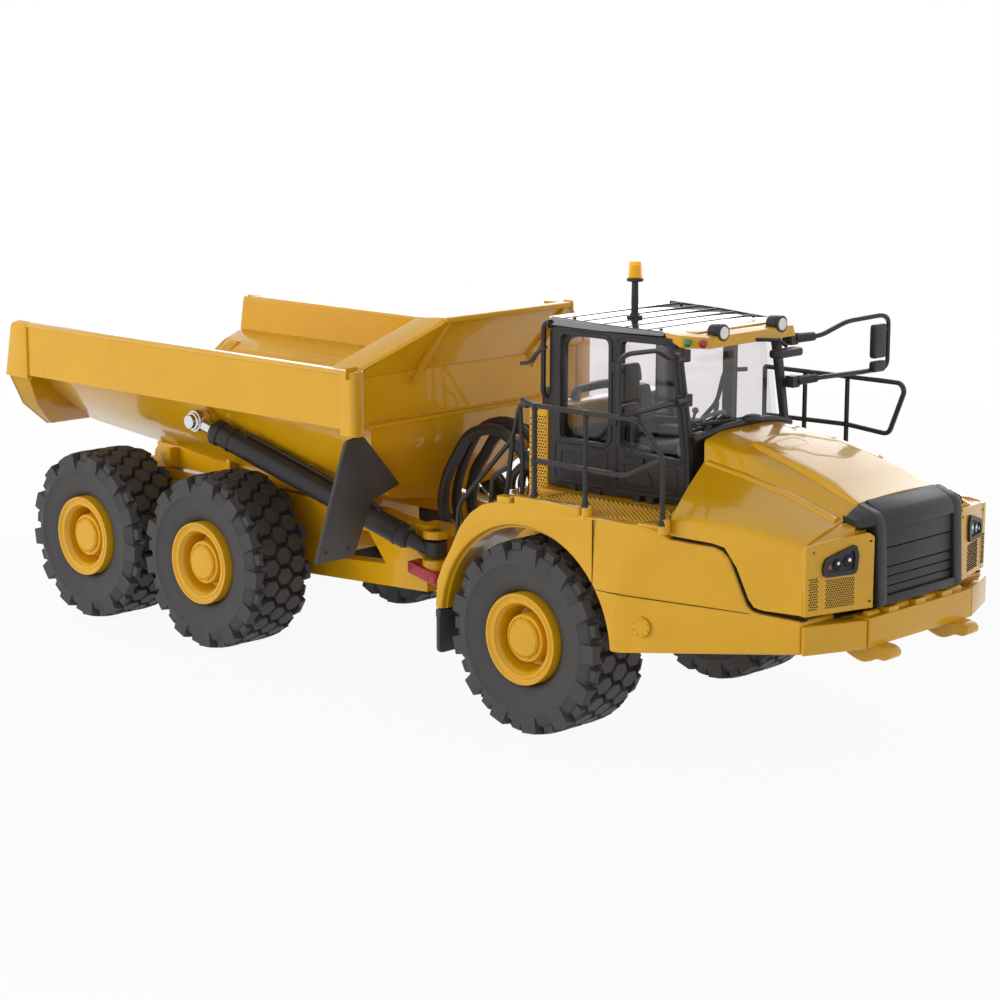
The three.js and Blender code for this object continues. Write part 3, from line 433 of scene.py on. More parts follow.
def rod(bm, a, b, radius, sides=16, radius2=None):
    """A closed cylinder or cone from a to b."""
    a, b = Vector(a), Vector(b)
    turn = (b - a).to_track_quat("Z", "Y").to_matrix().to_4x4()
    bmesh.ops.create_cone(
        bm, cap_ends=True, segments=sides, radius1=radius, radius2=radius if radius2 is None else radius2,
        depth=(b - a).length, matrix=Matrix.Translation((a + b) / 2) @ turn,
    )


def cup(bm, matrix, sides, radius, radius2, depth):
    """A small closed cone placed by a matrix: a perforation or a stud."""
    bmesh.ops.create_cone(
        bm, cap_ends=True, segments=sides, radius1=radius, radius2=radius2, depth=depth, matrix=matrix,
    )


def ball(bm, centre, radius, squash=(1, 1, 1), rings=8):
    bmesh.ops.create_uvsphere(
        bm, u_segments=rings * 2, v_segments=rings, radius=radius,
        matrix=Matrix.Translation(centre) @ Matrix.Diagonal((*squash, 1)),
    )


def bend(points, radius, steps=4):
    """A path whose inner corners are turned into arcs."""
    points = [Vector(p) for p in points]
    out = [points[0]]
    for before, here, after in zip(points, points[1:], points[2:]):
        reach = min(radius, (before - here).length * 0.49, (after - here).length * 0.49)
        a, b = here + (before - here).normalized() * reach, here + (after - here).normalized() * reach
        out += [a * (1 - t) ** 2 + here * 2 * t * (1 - t) + b * t ** 2 for t in (k / steps for k in range(steps + 1))]
    return out + [points[-1]]


def tube(bm, points, radius, corner=1.5, smooth=1):
    """A round bar or hose along a path, made as a curve with a round section and then merged in."""
    curve = bpy.data.curves.new("path", "CURVE")
    curve.dimensions, curve.bevel_depth, curve.bevel_resolution, curve.use_fill_caps = "3D", radius, smooth, True
    path = bend(points, corner)
    line = curve.splines.new("POLY")
    line.points.add(len(path) - 1)
    for spot, p in zip(line.points, path):
        spot.co = (*p, 1)
    thing = bpy.data.objects.new("path", curve)
    mesh = bpy.data.meshes.new_from_object(thing)
    bm.from_mesh(mesh)
    bpy.data.objects.remove(thing)
    bpy.data.curves.remove(curve)
    bpy.data.meshes.remove(mesh)
    bmesh.ops.remove_doubles(bm, verts=bm.verts, dist=1e-4)


def bevel(bm, edges, size, segments):
    bmesh.ops.bevel(
        bm, geom=edges, offset=size, offset_type="OFFSET", affect="EDGES", segments=segments, profile=0.5,
        material=-1, clamp_overlap=True,
    )


def soften(bm, size, segments=2, angle=28, faces=None):
    """Bevels every edge that turns more than the angle, or only those around the given faces."""
    edges = bm.edges if faces is None else {e for f in faces for e in f.edges}
    bevel(bm, [e for e in edges if e.is_manifold and e.calc_face_angle() > math.radians(angle)], size, segments)


def cut_across(bm, place, normal, **more):
    """New edges where a plane crosses the mesh, so that it can be bent or ended there."""
    return bmesh.ops.bisect_plane(bm, geom=everything(bm), plane_co=place, plane_no=normal, dist=1e-5, **more)


def absorb(bm, part):
    """Moves a finished part into a bigger mesh, so that it is softened on its own first."""
    mesh = bpy.data.meshes.new("part")
    part.to_mesh(mesh)
    bm.from_mesh(mesh)
    part.free()
    bpy.data.meshes.remove(mesh)


def mirror_y(bm):
    """Adds the other side's copy of everything."""
    both = bmesh.ops.duplicate(bm, geom=everything(bm))["geom"]
    bmesh.ops.scale(bm, vec=(1, -1, 1), verts=only(both, bmesh.types.BMVert))
    bmesh.ops.reverse_faces(bm, faces=only(both, bmesh.types.BMFace))


def flipped(bm):
    """The same mesh for the other side of the truck."""
    other = bm.copy()
    bmesh.ops.scale(other, vec=(1, -1, 1), verts=other.verts)
    bmesh.ops.reverse_faces(other, faces=other.faces)
    return other


pieces_made = {}


def piece(name, bm, look, body, replaces=(), smooth=34, outward=True):
    """Carries a finished mesh to the row's frame as a named piece, which rides on a body if it has one."""
    bmesh.ops.transform(bm, matrix=TO_ROW, verts=bm.verts)
    if outward:
        bmesh.ops.recalc_face_normals(bm, faces=bm.faces)
    for face in bm.faces:
        face.smooth = True
    for edge in bm.edges:
        edge.smooth = edge.is_manifold and edge.calc_face_angle() < math.radians(smooth)
    mesh = bpy.data.meshes.new(name)
    bm.to_mesh(mesh)
    bm.free()
    mesh.materials.append(FINISHES[look])
    thing = bpy.data.objects.new(name, mesh)
    scene.collection.objects.link(thing)
    if body:
        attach(thing, body)
    if replaces:
        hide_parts(*replaces)
    mesh.calc_loop_triangles()
    pieces_made[name] = len(mesh.loop_triangles)
    return thing


def sides(name, bm, look, body, replaces=(), smooth=34):
    """The right-hand piece and its mirrored left-hand twin. {} in a name stands for the side."""
    other = flipped(bm)
    for side, mesh in (("right", bm), ("left", other)):
        piece(name.format(side), mesh, look, body.format(side), [r.format(side) for r in replaces], smooth)


print("the bench is ready")

# %% [markdown]
# ## Tyres
# A dump truck's tyre has a plain casing with one raised ring on its sidewall, and a tread of thick
# rubber blocks: three rows of hexagons across the crown, and a row of shoulder blocks at each side
# that alternate between narrow and wide. The tread could be a bump pattern, but blocks that stand up
# from the casing break the outline against the floor, so they are real. The casing is a spun profile.
# Each block is one small solid, copied around the wheel.

# %% Casing and tread
BLOCKS = 26
PITCH = math.tau / BLOCKS
CROWN_R = TYRE_R - 1.6
tyre_box = node_box("tyre_front_right")
TYRE_MID_Y = (tyre_box[0].y + tyre_box[1].y) / 2
TYRE_HALF = (tyre_box[1].y - tyre_box[0].y) / 2
RIM_R = 8.7


def tread_block(bm, outline, low, high, taper=0.86):
    """A block on the crown at the wheel's top; the outline is (along, across) in millimetres."""
    start = points_of(bm)
    slab(bm, outline, "z", low, high)
    fresh = verts_since(bm, start)
    top = [v for v in fresh if v.co.z > (low + high) / 2]
    centre = sum((v.co for v in top), Vector()) / len(top)
    bmesh.ops.scale(bm, vec=(taper, taper, 1), verts=top, space=Matrix.Translation(-centre))
    return fresh


def casing(bm):
    """The tyre without its blocks: half a profile as radius and distance from the middle, then its mirror image."""
    w = TYRE_HALF
    half = [
        (RIM_R + 0.1, w - 1.9), (RIM_R + 0.5, w - 1.2), (RIM_R + 1.4, w - 0.75), (RIM_R + 3.2, w - 0.28),
        (RIM_R + 5.2, w - 0.1), (RIM_R + 5.5, w + 0.12), (RIM_R + 5.9, w + 0.12), (RIM_R + 6.2, w - 0.12),
        (CROWN_R - 1.1, w - 0.3), (CROWN_R - 0.3, w - 0.8), (CROWN_R, w - 1.6),
    ]
    profile = half + [(r, -y) for r, y in reversed(half)]
    spun(bm, [(r, y + TYRE_MID_Y) for r, y in profile + half[:1]], 78)


def ring_of_blocks(bm, outline, across, shift, low, high, taper=0.86, slope=None, every=1):
    """One block, then its copies turned about the axle."""
    first = tread_block(bm, [(a, b + across + TYRE_MID_Y) for a, b in outline], low + AXLE_Z, high + AXLE_Z, taper)
    if slope:
        slope(first)
    faces = list({f for v in first for f in v.link_faces})
    bmesh.ops.rotate(bm, cent=(0, 0, AXLE_Z), matrix=Matrix.Rotation(shift * PITCH, 3, "Y"), verts=first)
    for k in range(every, BLOCKS, every):
        copy = bmesh.ops.duplicate(bm, geom=first + list({e for f in faces for e in f.edges}) + faces)["geom"]
        turn = Matrix.Rotation(k * PITCH, 3, "Y")
        bmesh.ops.rotate(bm, cent=(0, 0, AXLE_Z), matrix=turn, verts=only(copy, bmesh.types.BMVert))


def shoulder(drop, bulge):
    """Bends a shoulder block's outer end down the sidewall: its foot by drop, its top by bulge."""
    def lean(verts):
        for v in verts:
            if abs(v.co.y - TYRE_MID_Y) > TYRE_HALF - 1.2:
                v.co.z -= drop if v.co.z < TYRE_R + AXLE_Z - 1 else bulge
    return lean


def tyre_mesh():
    bm = bmesh.new()
    casing(bm)
    cell = TYRE_R * PITCH / 2 - 0.34
    hexagon = [(cell, 1.05), (0, 2.3), (-cell, 1.05), (-cell, -1.05), (0, -2.3), (cell, -1.05)]
    for across, shift in ((-3.5, 0), (0, 0.5), (3.5, 0)):
        ring_of_blocks(bm, hexagon, across, shift, CROWN_R - 0.3, TYRE_R - 0.1)
    edge, inner, outer = TYRE_HALF, cell * 0.8, cell * 0.62
    for side in (-1, 1):
        wide = [(cell, 5.2), (cell, edge + 0.1), (-cell, edge + 0.1), (-cell, 5.2), (0, 6.2)]
        narrow = [(inner, 5.3), (outer, edge - 1.0), (-outer, edge - 1.0), (-inner, 5.3), (0, 5.9)]
        wide, narrow = ([(a, b * side) for a, b in outline] for outline in (wide, narrow))
        ring_of_blocks(bm, wide, 0, 0.5, CROWN_R - 0.4, TYRE_R - 0.16, 0.9, shoulder(2.3, 0.5), every=2)
        ring_of_blocks(bm, narrow, 0, 1.5, CROWN_R - 0.4, TYRE_R - 0.15, 0.9, shoulder(0.5, 0.35), every=2)
    return bm


tyre = tyre_mesh()
print("tyre:", len(tyre.verts), "vertices")

# %% [markdown]
# ## Rims
# The wheel on the real truck is a deep steel dish with stepped rings, and the planetary hub stands in
# its middle with a bolted cap. Such a part is made on a lathe, so it is spun from one profile. The
# bolts are copied around the cap.

# %% Rim, hub and bolts
FACE = 0.35  # how far the rim's lip stands past the tyre's side
CAP_BOLTS, BOLT_CIRCLE = 10, 3.75
TREAD_TURN = 0.11  # radians for each mm along the truck, so that no two wheels stand alike


def rim_mesh():
    bm = bmesh.new()
    profile = [
        (0, -3.2), (3.4, -3.2), (3.6, -12.8), (RIM_R, -12.8), (RIM_R, 0), (RIM_R - 0.12, FACE),
        (RIM_R - 0.55, FACE), (RIM_R - 0.85, 0.05), (RIM_R - 1.15, -0.02), (RIM_R - 1.3, 0.12),
        (RIM_R - 1.9, 0.05), (RIM_R - 2.05, -0.25),
        (RIM_R - 2.3, -0.45), (RIM_R - 2.6, -1.1), (RIM_R - 2.95, -5.0), (4.85, -5.4), (4.7, -5.0), (4.6, -1.5),
        (4.4, -1.15), (4.0, -1.05), (3.85, -1.2), (3.65, -1.2), (3.55, -0.8), (3.2, -0.5), (1.2, -0.38), (0, -0.36),
    ]
    outer = TYRE_MID_Y - TYRE_HALF
    spun(bm, [(r, outer - y) for r, y in profile], 56)
    for k in range(CAP_BOLTS):
        angle = k * math.tau / CAP_BOLTS
        spot = Vector((math.cos(angle) * BOLT_CIRCLE, 0, math.sin(angle) * BOLT_CIRCLE))
        rod(bm, spot + Vector((0, outer + 1.3, AXLE_Z)), spot + Vector((0, outer + 1.02, AXLE_Z)), 0.14, 6)
    return bm


rim = rim_mesh()
WHEELS = {"front": 0.0}
for axle in ("mid", "rear"):
    low, high = node_box(f"tyre_{axle}_right")
    WHEELS[axle] = (low.x + high.x) / 2
for axle, x in WHEELS.items():
    for model, look, kind in ((tyre, "rubber", "tyre"), (rim, "enamel", "rim")):
        right_mesh = model.copy()
        turn = Matrix.Rotation(TREAD_TURN * x, 3, "Y")
        bmesh.ops.rotate(right_mesh, cent=(0, 0, AXLE_Z), matrix=turn, verts=right_mesh.verts)
        bmesh.ops.translate(right_mesh, vec=(x, 0, 0), verts=right_mesh.verts)
        name = "tread_tyre" if kind == "tyre" else "dish_rim"
        sides(f"{name}_{axle}_{{}}", right_mesh, look, f"wheel_{axle}_{{}}", [f"{kind}_{axle}_{{}}"])
tyre.free()
rim.free()
print("wheels:", {k: v for k, v in pieces_made.items() if "front" in k})

# %% [markdown]
# ## The cab's walls
# The cab is one black moulding with a door each side. Its walls could be cut from a block with
# booleans, but that leaves poor edges. Here each wall starts as a flat outline with its rounded window
# openings, is filled, pushed to its thickness, and then bent a little: the front half of each side
# turns inwards at the pillar, and the windscreen wall leans back above the sill.

# %% Walls with rounded windows
CAB_REAR, PILLAR, CAB_FRONT, LEAN = -9.3, 6.5, 23.6, 3.6
REAR_Y, FRONT_Y, WALL, SILL_Z, CAB_TOP, CAB_LOW = 17.3, 15.0, 1.3, 53.0, 74.0, 43.9
REAR_WINDOW = rounded(rect(-6.6, 53.2, 5.6, 73.0), [1.0, 1.8, 1.4, 1.4], 5)
DOOR_WINDOW = rounded(
    [(8.2, 53.2), (10.0, 52.3), (21.7, 52.0), (18.9, 73.0), (8.2, 73.0)], [1.2, 2.2, 1.0, 1.8, 1.4], 5,
)


def offset(outline, out):
    """The same outline pushed outwards, for a frame around an opening."""
    middle = sum((Vector(p) for p in outline), Vector((0, 0))) / len(outline)
    ring = []
    for i, p in enumerate(outline):
        along = (Vector(outline[(i + 1) % len(outline)]) - Vector(outline[i - 1])).normalized()
        normal = Vector((along.y, -along.x))
        if normal.dot(Vector(p) - middle) < 0:
            normal = -normal
        ring.append(tuple(Vector(p) + normal * out))
    return ring


def fold_side(bm):
    """Turns the part of a right-hand wall in front of the pillar inwards."""
    cut_across(bm, (PILLAR, 0, 0), (1, 0, 0))
    for v in bm.verts:
        if v.co.x > PILLAR:
            v.co.y += (v.co.x - PILLAR) * (REAR_Y - FRONT_Y) / (CAB_FRONT - PILLAR)


def lean_back(bm):
    """Leans the windscreen side back above the sill."""
    cut_across(bm, (0, 0, SILL_Z), (0, 0, 1))
    for v in bm.verts:
        if v.co.z > SILL_Z:
            v.co.x -= (v.co.z - SILL_Z) * LEAN / (CAB_TOP - SILL_Z)


walls = bmesh.new()
SIDE = rounded(
    [
        (CAB_REAR, CAB_LOW), (CAB_FRONT - 0.2, CAB_LOW), (CAB_FRONT - 0.5, SILL_Z), (CAB_FRONT - 4.0, 74.2),
        (CAB_REAR, 74.2),
    ],
    [0.6, 0.6, 2, 0.8, 1.6],
)
panel(walls, SIDE, [REAR_WINDOW, DOOR_WINDOW], "y", -REAR_Y, -REAR_Y + WALL)
fold_side(walls)
mirror_y(walls)
rear_wall = rounded(rect(-REAR_Y + 0.4, CAB_LOW, REAR_Y - 0.4, 74.2), 0.8)
panel(walls, rear_wall, [rounded(rect(-13.5, 54, 13.5, 71.4), 1.8)], "x", CAB_REAR + 0.05, CAB_REAR + WALL)
screen = bmesh.new()
panel(
    screen, rounded(rect(-14.6, CAB_LOW, 14.6, 74.2), 0.6), [rounded(rect(-13.7, 56.0, 13.7, 72.5), 1.6)], "x",
    CAB_FRONT - WALL - 0.3, CAB_FRONT - 0.3,
)
lean_back(screen)
absorb(walls, screen)
soften(walls, 0.22, 2, 40)
piece("cab_walls", walls, "satin", "front_unit", ["cab_shell"])

# %% Window seals, door relief and hinges
trim = bmesh.new()
for window in (REAR_WINDOW, DOOR_WINDOW):
    panel(trim, offset(window, 0.75), [offset(window, -0.12)], "y", -REAR_Y - 0.22, -REAR_Y + 0.1)
door = rounded([(7.2, 44.6), (22.3, 44.6), (22.4, 52.6), (19.0, 73.6), (7.2, 73.6)], [0.8, 1.6, 1.0, 1.4, 0.8], 5)
panel(trim, door, [offset(door, -0.42)], "y", -REAR_Y - 0.16, -REAR_Y + 0.1)
for outline in (
    rounded(rect(-8, 45, 5.4, 52.4), 1.2), rounded(rect(9, 45.6, 20.8, 50.9), 1.4),
    rounded([(-6.4, 46.4), (0.4, 46.4), (-0.6, 51), (-6.4, 51)], 0.8),
):
    panel(trim, outline, [offset(outline, -0.34)], "y", -REAR_Y - 0.14, -REAR_Y + 0.1)
pad(trim, (8.4, 50.2, 13.6, 51.6), 0.5, "y", -REAR_Y - 0.55, -REAR_Y + 0.1)
slab(trim, rounded([(9.6, 46.4), (15.6, 46.4), (14.2, 49.4), (9.6, 49.4)], 0.7), "y", -REAR_Y - 0.24, -REAR_Y + 0.1)
for x, z in ((7.0, 48), (7.0, 58), (7.0, 68)):
    pad(trim, (x - 0.7, z - 0.9, x + 0.7, z + 0.9), 0.3, "y", -REAR_Y - 0.5, -REAR_Y + 0.1)
fold_side(trim)
soften(trim, 0.09, 1, 40)
mirror_y(trim)
for x in (-3.2, 3.0, 12.6, 15.8):
    block(trim, (x - 0.8, -REAR_Y - 0.2, CAB_LOW - 0.7), (x + 0.8, -REAR_Y + 1.4, CAB_LOW + 0.8))
piece("cab_trim", trim, "satin", "front_unit")
cowl = bmesh.new()
tube(cowl, [(23.4, -14.2, 55.9), (24.2, -8, 57.4), (24.4, 0, 57.8), (24.2, 8, 57.4), (23.4, 14.2, 55.9)], 0.75, 4)
ball(cowl, (24.4, 1.2, 58.2), 1.5, (0.8, 1.9, 0.62), 10)
tube(cowl, [(24.3, 3.0, 58.6), (23.2, -4.0, 58.4), (22.6, -11.4, 58.6)], 0.2, 1.0)
tube(cowl, [(22.9, -4.4, 58.0), (22.4, -12.6, 58.4)], 0.28)
piece("windscreen_cowl", cowl, "satin", "front_unit")

# %% [markdown]
# ## Roof, visor, lamps and beacon
# The roof is a glossy black plate with thin joints across it and a bolt at each corner. The yellow
# visor in front carries two work lamps on top and two coloured lenses on its chamfered corner. These
# are slabs and cones with softened edges, since gloss shows every edge.

# %% Roof plate, joints and bolts
ROOF_BACK, ROOF_TOP, ROOF_FALL = -9.9, 75.9, 0.028
BEACON_X, BEACON_Y = 1.9, -6


def roof_drop(x):
    """How far the roof has fallen at x, on its way down from the back."""
    return (x - ROOF_BACK) * ROOF_FALL


roof = bmesh.new()
slab(
    roof,
    rounded(
        [(-9.9, -17.8), (4, -17.8), (17.1, -15.7), (17.1, 15.7), (4, 17.8), (-9.9, 17.8)],
        [1.6, 3, 0.4, 0.4, 3, 1.6],
    ),
    "z", 74.25, ROOF_TOP,
)
for v in roof.verts:
    if v.co.z > 75:
        v.co.z -= roof_drop(v.co.x)
soften(roof, 0.55, 3, 40)
piece("roof_plate", roof, "gloss", "front_unit", ["cab_roof"])
joints = bmesh.new()
for x in (-6.2, -1.4, 3.4, 8.2, 13.0):
    z = ROOF_TOP - roof_drop(x)
    wide = 16.6 - max(0, x - 4) * 0.16
    slab(joints, rect(x - 0.22, -wide, x + 0.22, wide), "z", z - 0.3, z + 0.1)
for x, y in ((-4.6, 15.6), (-4.6, -15.6), (14.8, 13.6), (14.8, -13.6)):
    z = ROOF_TOP - roof_drop(x)
    rod(joints, (x, y, z - 0.2), (x, y, z + 0.28), 0.36, 10)
rod(joints, (BEACON_X, BEACON_Y, 75.2), (BEACON_X, BEACON_Y, 76.1), 1.5, 20)
pad(joints, (-9.95, -17.3, -9.0, 17.3), 0.3, "z", 73.6, 74.6)
for side in (-1, 1):
    gutter = [(-8.8, 17.35), (4, 17.35), (16.6, 15.4), (16.6, 15.05), (4, 16.95), (-8.8, 16.95)]
    start = points_of(joints)
    slab(joints, [(x, y * side) for x, y in gutter], "z", 75.4, 76.0)
    for v in verts_since(joints, start):
        v.co.z -= roof_drop(v.co.x)
tube(joints, [(-8.6, -18.0, 75.0), (-10.2, -18.0, 74.4), (-10.3, -18.0, 61.5), (-10.0, -17.2, 60.5)], 0.5, 1.4)
tube(joints, [(-9.6, -18, 70.2), (-12.2, -18, 68.6), (-13.4, -18, 66.9), (-16, -18, 66.4)], 0.42, 1)
piece("roof_joints", joints, "satin", "front_unit")

# %% Visor with its lamps
WORK_LAMP_Y = 8.6
visor = bmesh.new()
VISOR = [(17.3, -15.5), (21.6, -15.7), (25.7, -12.6), (25.7, 12.6), (21.6, 15.7), (17.3, 15.5)]
slab(visor, rounded(VISOR, [0, 0.6, 0.8, 0.8, 0.6, 0]), "z", 72.65, 75.2)
for v in visor.verts:
    if v.co.z > 74:
        v.co.z -= (v.co.x - 17.3) * 0.065
        if v.co.x > 21:
            v.co.x -= 0.5
    elif v.co.x < 20.6:
        v.co.z = 74.35
pad(visor, (18.4, -11.6, 21.6, 11.6), 0.8, "z", 74.6, 75.22)
for y in (-WORK_LAMP_Y, WORK_LAMP_Y):
    pad(visor, (21.6, y - 1.4, 25.0, y + 1.4), 0.5, "z", 74.2, 74.95)
soften(visor, 0.2, 2, 35)
piece("visor_plate", visor, "enamel", "front_unit", ["roof_visor"])
lamps = bmesh.new()
lenses = bmesh.new()
for y in (-WORK_LAMP_Y, WORK_LAMP_Y):
    rod(lamps, (22.6, y, 75.2), (25.0, y, 75.2), 1.45, 24, 1.6)
    rod(lamps, (25.0, y, 75.2), (25.5, y, 75.2), 1.6, 24)
    rod(lamps, (23.6, y, 74.2), (23.6, y, 75.2), 0.5, 10)
    rod(lenses, (25.35, y, 75.2), (25.62, y, 75.2), 1.3, 24, 1.1)
soften(lamps, 0.12, 2, 40)
piece("work_lamp_cases", lamps, "satin", "front_unit")
piece("work_lamp_lenses", lenses, "pearl", "front_unit")
SIDE_LENSES = {"green": ("green", (22.35, -15.12, 73.75)), "red": ("ruby", (24.55, -13.45, 73.6))}
for colour, (look, spot) in SIDE_LENSES.items():
    lens = bmesh.new()
    ball(lens, spot, 0.78, (1, 1, 1), 10)
    piece(f"side_lens_{colour}", lens, look, "front_unit")

# %% Beacon
mast = bmesh.new()
for low, high, radius, count, end_radius in (
    (75.9, 76.6, 1.0, 18, 0.8), (76.4, 82.9, 0.72, 18, 0.62), (82.5, 83.1, 1.58, 24, 1.58),
    (83.0, 85.4, 0.7, 14, 0.6),
):
    rod(mast, (BEACON_X, BEACON_Y, low), (BEACON_X, BEACON_Y, high), radius, count, end_radius)
soften(mast, 0.1, 1, 50)
piece("beacon_mast", mast, "satin", "front_unit", ["beacon"])
# The dome's finish paints a faint glow into the amber.
dome = bmesh.new()
rod(dome, (BEACON_X, BEACON_Y, 83.15), (BEACON_X, BEACON_Y, 86.3), 1.35, 24, 1.1)
soften(dome, 0.3, 3, 40)
piece("beacon_dome", dome, "amber_glow", "front_unit")
print("cab:", {k: v for k, v in pieces_made.items() if "cab" in k or "roof" in k})

# %% [markdown]
# ## Behind the windows
# Clear windows show the inside, so the cab needs one: a floor tray, a curved dash with a wheel, a
# seat with bolsters and headrest, and a console with levers. They are slabs bevelled generously,
# because padded shapes have round edges. A ring spun around a slanted column is the wheel.

# %% Seat, dash and wheel
inside = bmesh.new()
slab(
    inside, rounded([(-7.7, -15.6), (6.3, -15.6), (21.6, -13.4), (21.6, 13.4), (6.3, 15.6), (-7.7, 15.6)], 1),
    "z", 44.2, 45.6,
)
slab(
    inside,
    rounded(
        [(16.2, 46), (21.6, 46), (21.4, 53.6), (18.6, 54.8), (16.2, 53.4), (17.6, 50)],
        [0.3, 0.3, 1, 1.5, 1, 1],
    ),
    "y", -10.8, 10.8,
)
slab(
    inside, rounded([(-2.5, 45.4), (8, 45.4), (9, 52.2), (2, 53.4), (-2.5, 53.4)], [0.3, 0.3, 1.2, 1, 1]), "y",
    6.2, 9.4,
)
slab(inside, rounded([(-2.5, 45.4), (6, 45.4), (7, 51.6), (-2.5, 52.4)], [0.3, 0.3, 1.2, 1]), "y", -9.2, -6.4)
for y in (-13.9, 13.9):
    slab(inside, rounded([(-7.4, 45.4), (19, 45.4), (20, 51.8), (-7.4, 52.8)], 0.8), "y", y - 0.8, y + 0.8)
soften(inside, 0.4, 2, 35)
rod(inside, (17.9, 0, 52.2), (15.0, 0, 56.4), 0.55, 12)
rod(inside, (4.6, 7.8, 52.6), (5.6, 7.8, 56.4), 0.3, 8)
ball(inside, (5.7, 7.8, 56.8), 0.65)
start = points_of(inside)
upright = Matrix.Translation((3.7, 0, 0)) @ Matrix.Rotation(math.pi / 2, 4, "X")
bmesh.ops.create_circle(inside, segments=8, radius=0.36, matrix=upright)
ring = verts_since(inside, start)
ring += list({e for v in ring for e in v.link_edges})
bmesh.ops.spin(inside, geom=ring, cent=(0, 0, 0), axis=(0, 0, 1), angle=math.tau, steps=36, use_merge=True)
for angle in (0.5, 2.6, 4.7):
    rod(inside, (0, 0, 0), (math.cos(angle) * 3.6, math.sin(angle) * 3.6, 0.1), 0.26, 6)
tilt = Matrix.Translation((14.8, 0, 56.7)) @ Matrix.Rotation(math.radians(-35), 4, "Y")
bmesh.ops.transform(inside, matrix=tilt, verts=verts_since(inside, start))
piece("cab_fittings", inside, "grey", "front_unit", ["cab_floor"])
seat = bmesh.new()
slab(seat, rounded([(-3, 48.6), (6.6, 49.2), (7.2, 51.2), (5.6, 52), (-1.4, 51), (-3, 50.4)], 0.8), "y", -4.6, 4.6)
slab(seat, rounded([(-3.6, 50.2), (-0.6, 50.8), (-2.8, 61.6), (-5.6, 61.2)], 0.9), "y", -4.4, 4.4)
slab(seat, rounded([(-5.6, 61.8), (-3.0, 62.2), (-3.6, 65.6), (-5.8, 65.2)], 0.9), "y", -2.4, 2.4)
slab(seat, rounded([(-2, 46.0), (4.6, 46.0), (4.2, 48.4), (-1.6, 48.4)], 0.4), "y", -3.2, 3.2)
for y in (-5.6, 5.6):
    slab(seat, rounded([(-3.4, 53.6), (4.6, 54.4), (4.6, 55.6), (-3.4, 55.2)], 0.5), "y", y - 0.7, y + 0.7)
soften(seat, 0.5, 3, 35)
piece("seat_cushions", seat, "satin", "front_unit", ["operator_seat"])
print("inside the cab:", pieces_made["cab_fittings"] + pieces_made["seat_cushions"], "triangles")

# %% [markdown]
# ## The hood
# The hood is one pressed skin: a crowned top, a narrow ridge band beside it, a wide slope down to a
# knee, and a short skirt whose lower edge runs level, then drops in an S to the bumper. It could be
# sculpted, but a press tool is drawn as sections, so the skin is drawn that way too. Open section
# lines are bridged into a surface, the creases are bevelled, and a wall gives it thickness.

# %% Sections from the cab to the nose
HOOD = [
    [(24.6, 0, 57.2), (24.6, 8, 57.0), (24.8, 12.9, 56.0), (26.6, 15, 52.6), (33, 32, 45.6), (33, 32.2, 31)],
    [(35, 0, 55.7), (35, 8, 55.4), (35, 12.8, 54.4), (36, 15.2, 51.2), (39, 31, 45.6), (39, 31.2, 31)],
    [(47, 0, 52.8), (47, 8.5, 52.5), (47, 12.7, 51.4), (48, 16, 49.0), (48.5, 29.2, 44.9), (48.5, 29.4, 31)],
    [(58.5, 0, 49.2), (58.5, 9, 49.0), (58.5, 12.6, 48.3), (58.5, 17, 46.2), (58.5, 27.2, 43.6), (58.5, 27.4, 31)],
]
HOOD_LINE = [
    (33, 42.5), (39, 42.25), (42.2, 42.1), (43.9, 41.6), (45.2, 40.4), (46.5, 37.6), (47.7, 34.8), (48.8, 32.5),
    (49.7, 31.7), (51.2, 31.5), (58.5, 31.5),
]


def hood_at(t, k):
    """Point k of the section at t, where whole numbers are the given sections."""
    i = min(int(t), len(HOOD) - 2)
    return Vector(HOOD[i][k]).lerp(Vector(HOOD[i + 1][k]), t - i)


def hood_foot_z(x):
    """Height of the skirt's lower edge at x."""
    for (x0, z0), (x1, z1) in zip(HOOD_LINE, HOOD_LINE[1:]):
        if x <= x1:
            return z0 + (z1 - z0) * max(0, x - x0) / (x1 - x0)
    return HOOD_LINE[-1][1]


def bridged(bm, chains, closed=False):
    """A surface over successive section lines; closed sections get a face at each end."""
    loops = []
    for chain in chains:
        ring = [bm.verts.new(p) for p in chain]
        pairs = list(zip(ring, ring[1:])) + ([(ring[-1], ring[0])] if closed else [])
        loops.append([bm.edges.new(pair) for pair in pairs])
        if closed and chain in (chains[0], chains[-1]):
            bm.faces.new(ring)
    for a, b in zip(loops, loops[1:]):
        bmesh.ops.bridge_loops(bm, edges=a + b)


STEPS = [0, 0.25, 0.5, 0.75, 1, 1.25, 1.5, 1.75] + [2 + k / 10 for k in range(11)]
skin = bmesh.new()
half = []
for t in STEPS:
    line = [hood_at(t, k) for k in range(6)]
    foot_z = hood_foot_z(line[5].x)
    crown = [line[0], line[0].lerp(line[1], 0.5) + Vector((0, 0, 0.08)), line[1]]
    slope = line[3].lerp(line[4], 0.5) + Vector((0, 0, 0.35))
    half.append(crown + [line[2], line[3], slope, line[4], Vector((line[5].x, line[5].y, foot_z))])
whole = [[Vector((p.x, -p.y, p.z)) for p in reversed(line[1:])] + line for line in half]
bridged(skin, whole)
bmesh.ops.recalc_face_normals(skin, faces=skin.faces)
if sum(f.normal.z for f in skin.faces) < 0:
    bmesh.ops.reverse_faces(skin, faces=skin.faces)


def near_line(edge, k):
    """True for edges that run forward along point k of the sections."""
    middle = (edge.verts[0].co + edge.verts[1].co) / 2
    near = min((Vector((p[k].x, p[k].y, 0)) - Vector((middle.x, abs(middle.y), 0))).length for p in fine)
    return near < 0.3 and abs(edge.verts[0].co.x - edge.verts[1].co.x) > 0.3


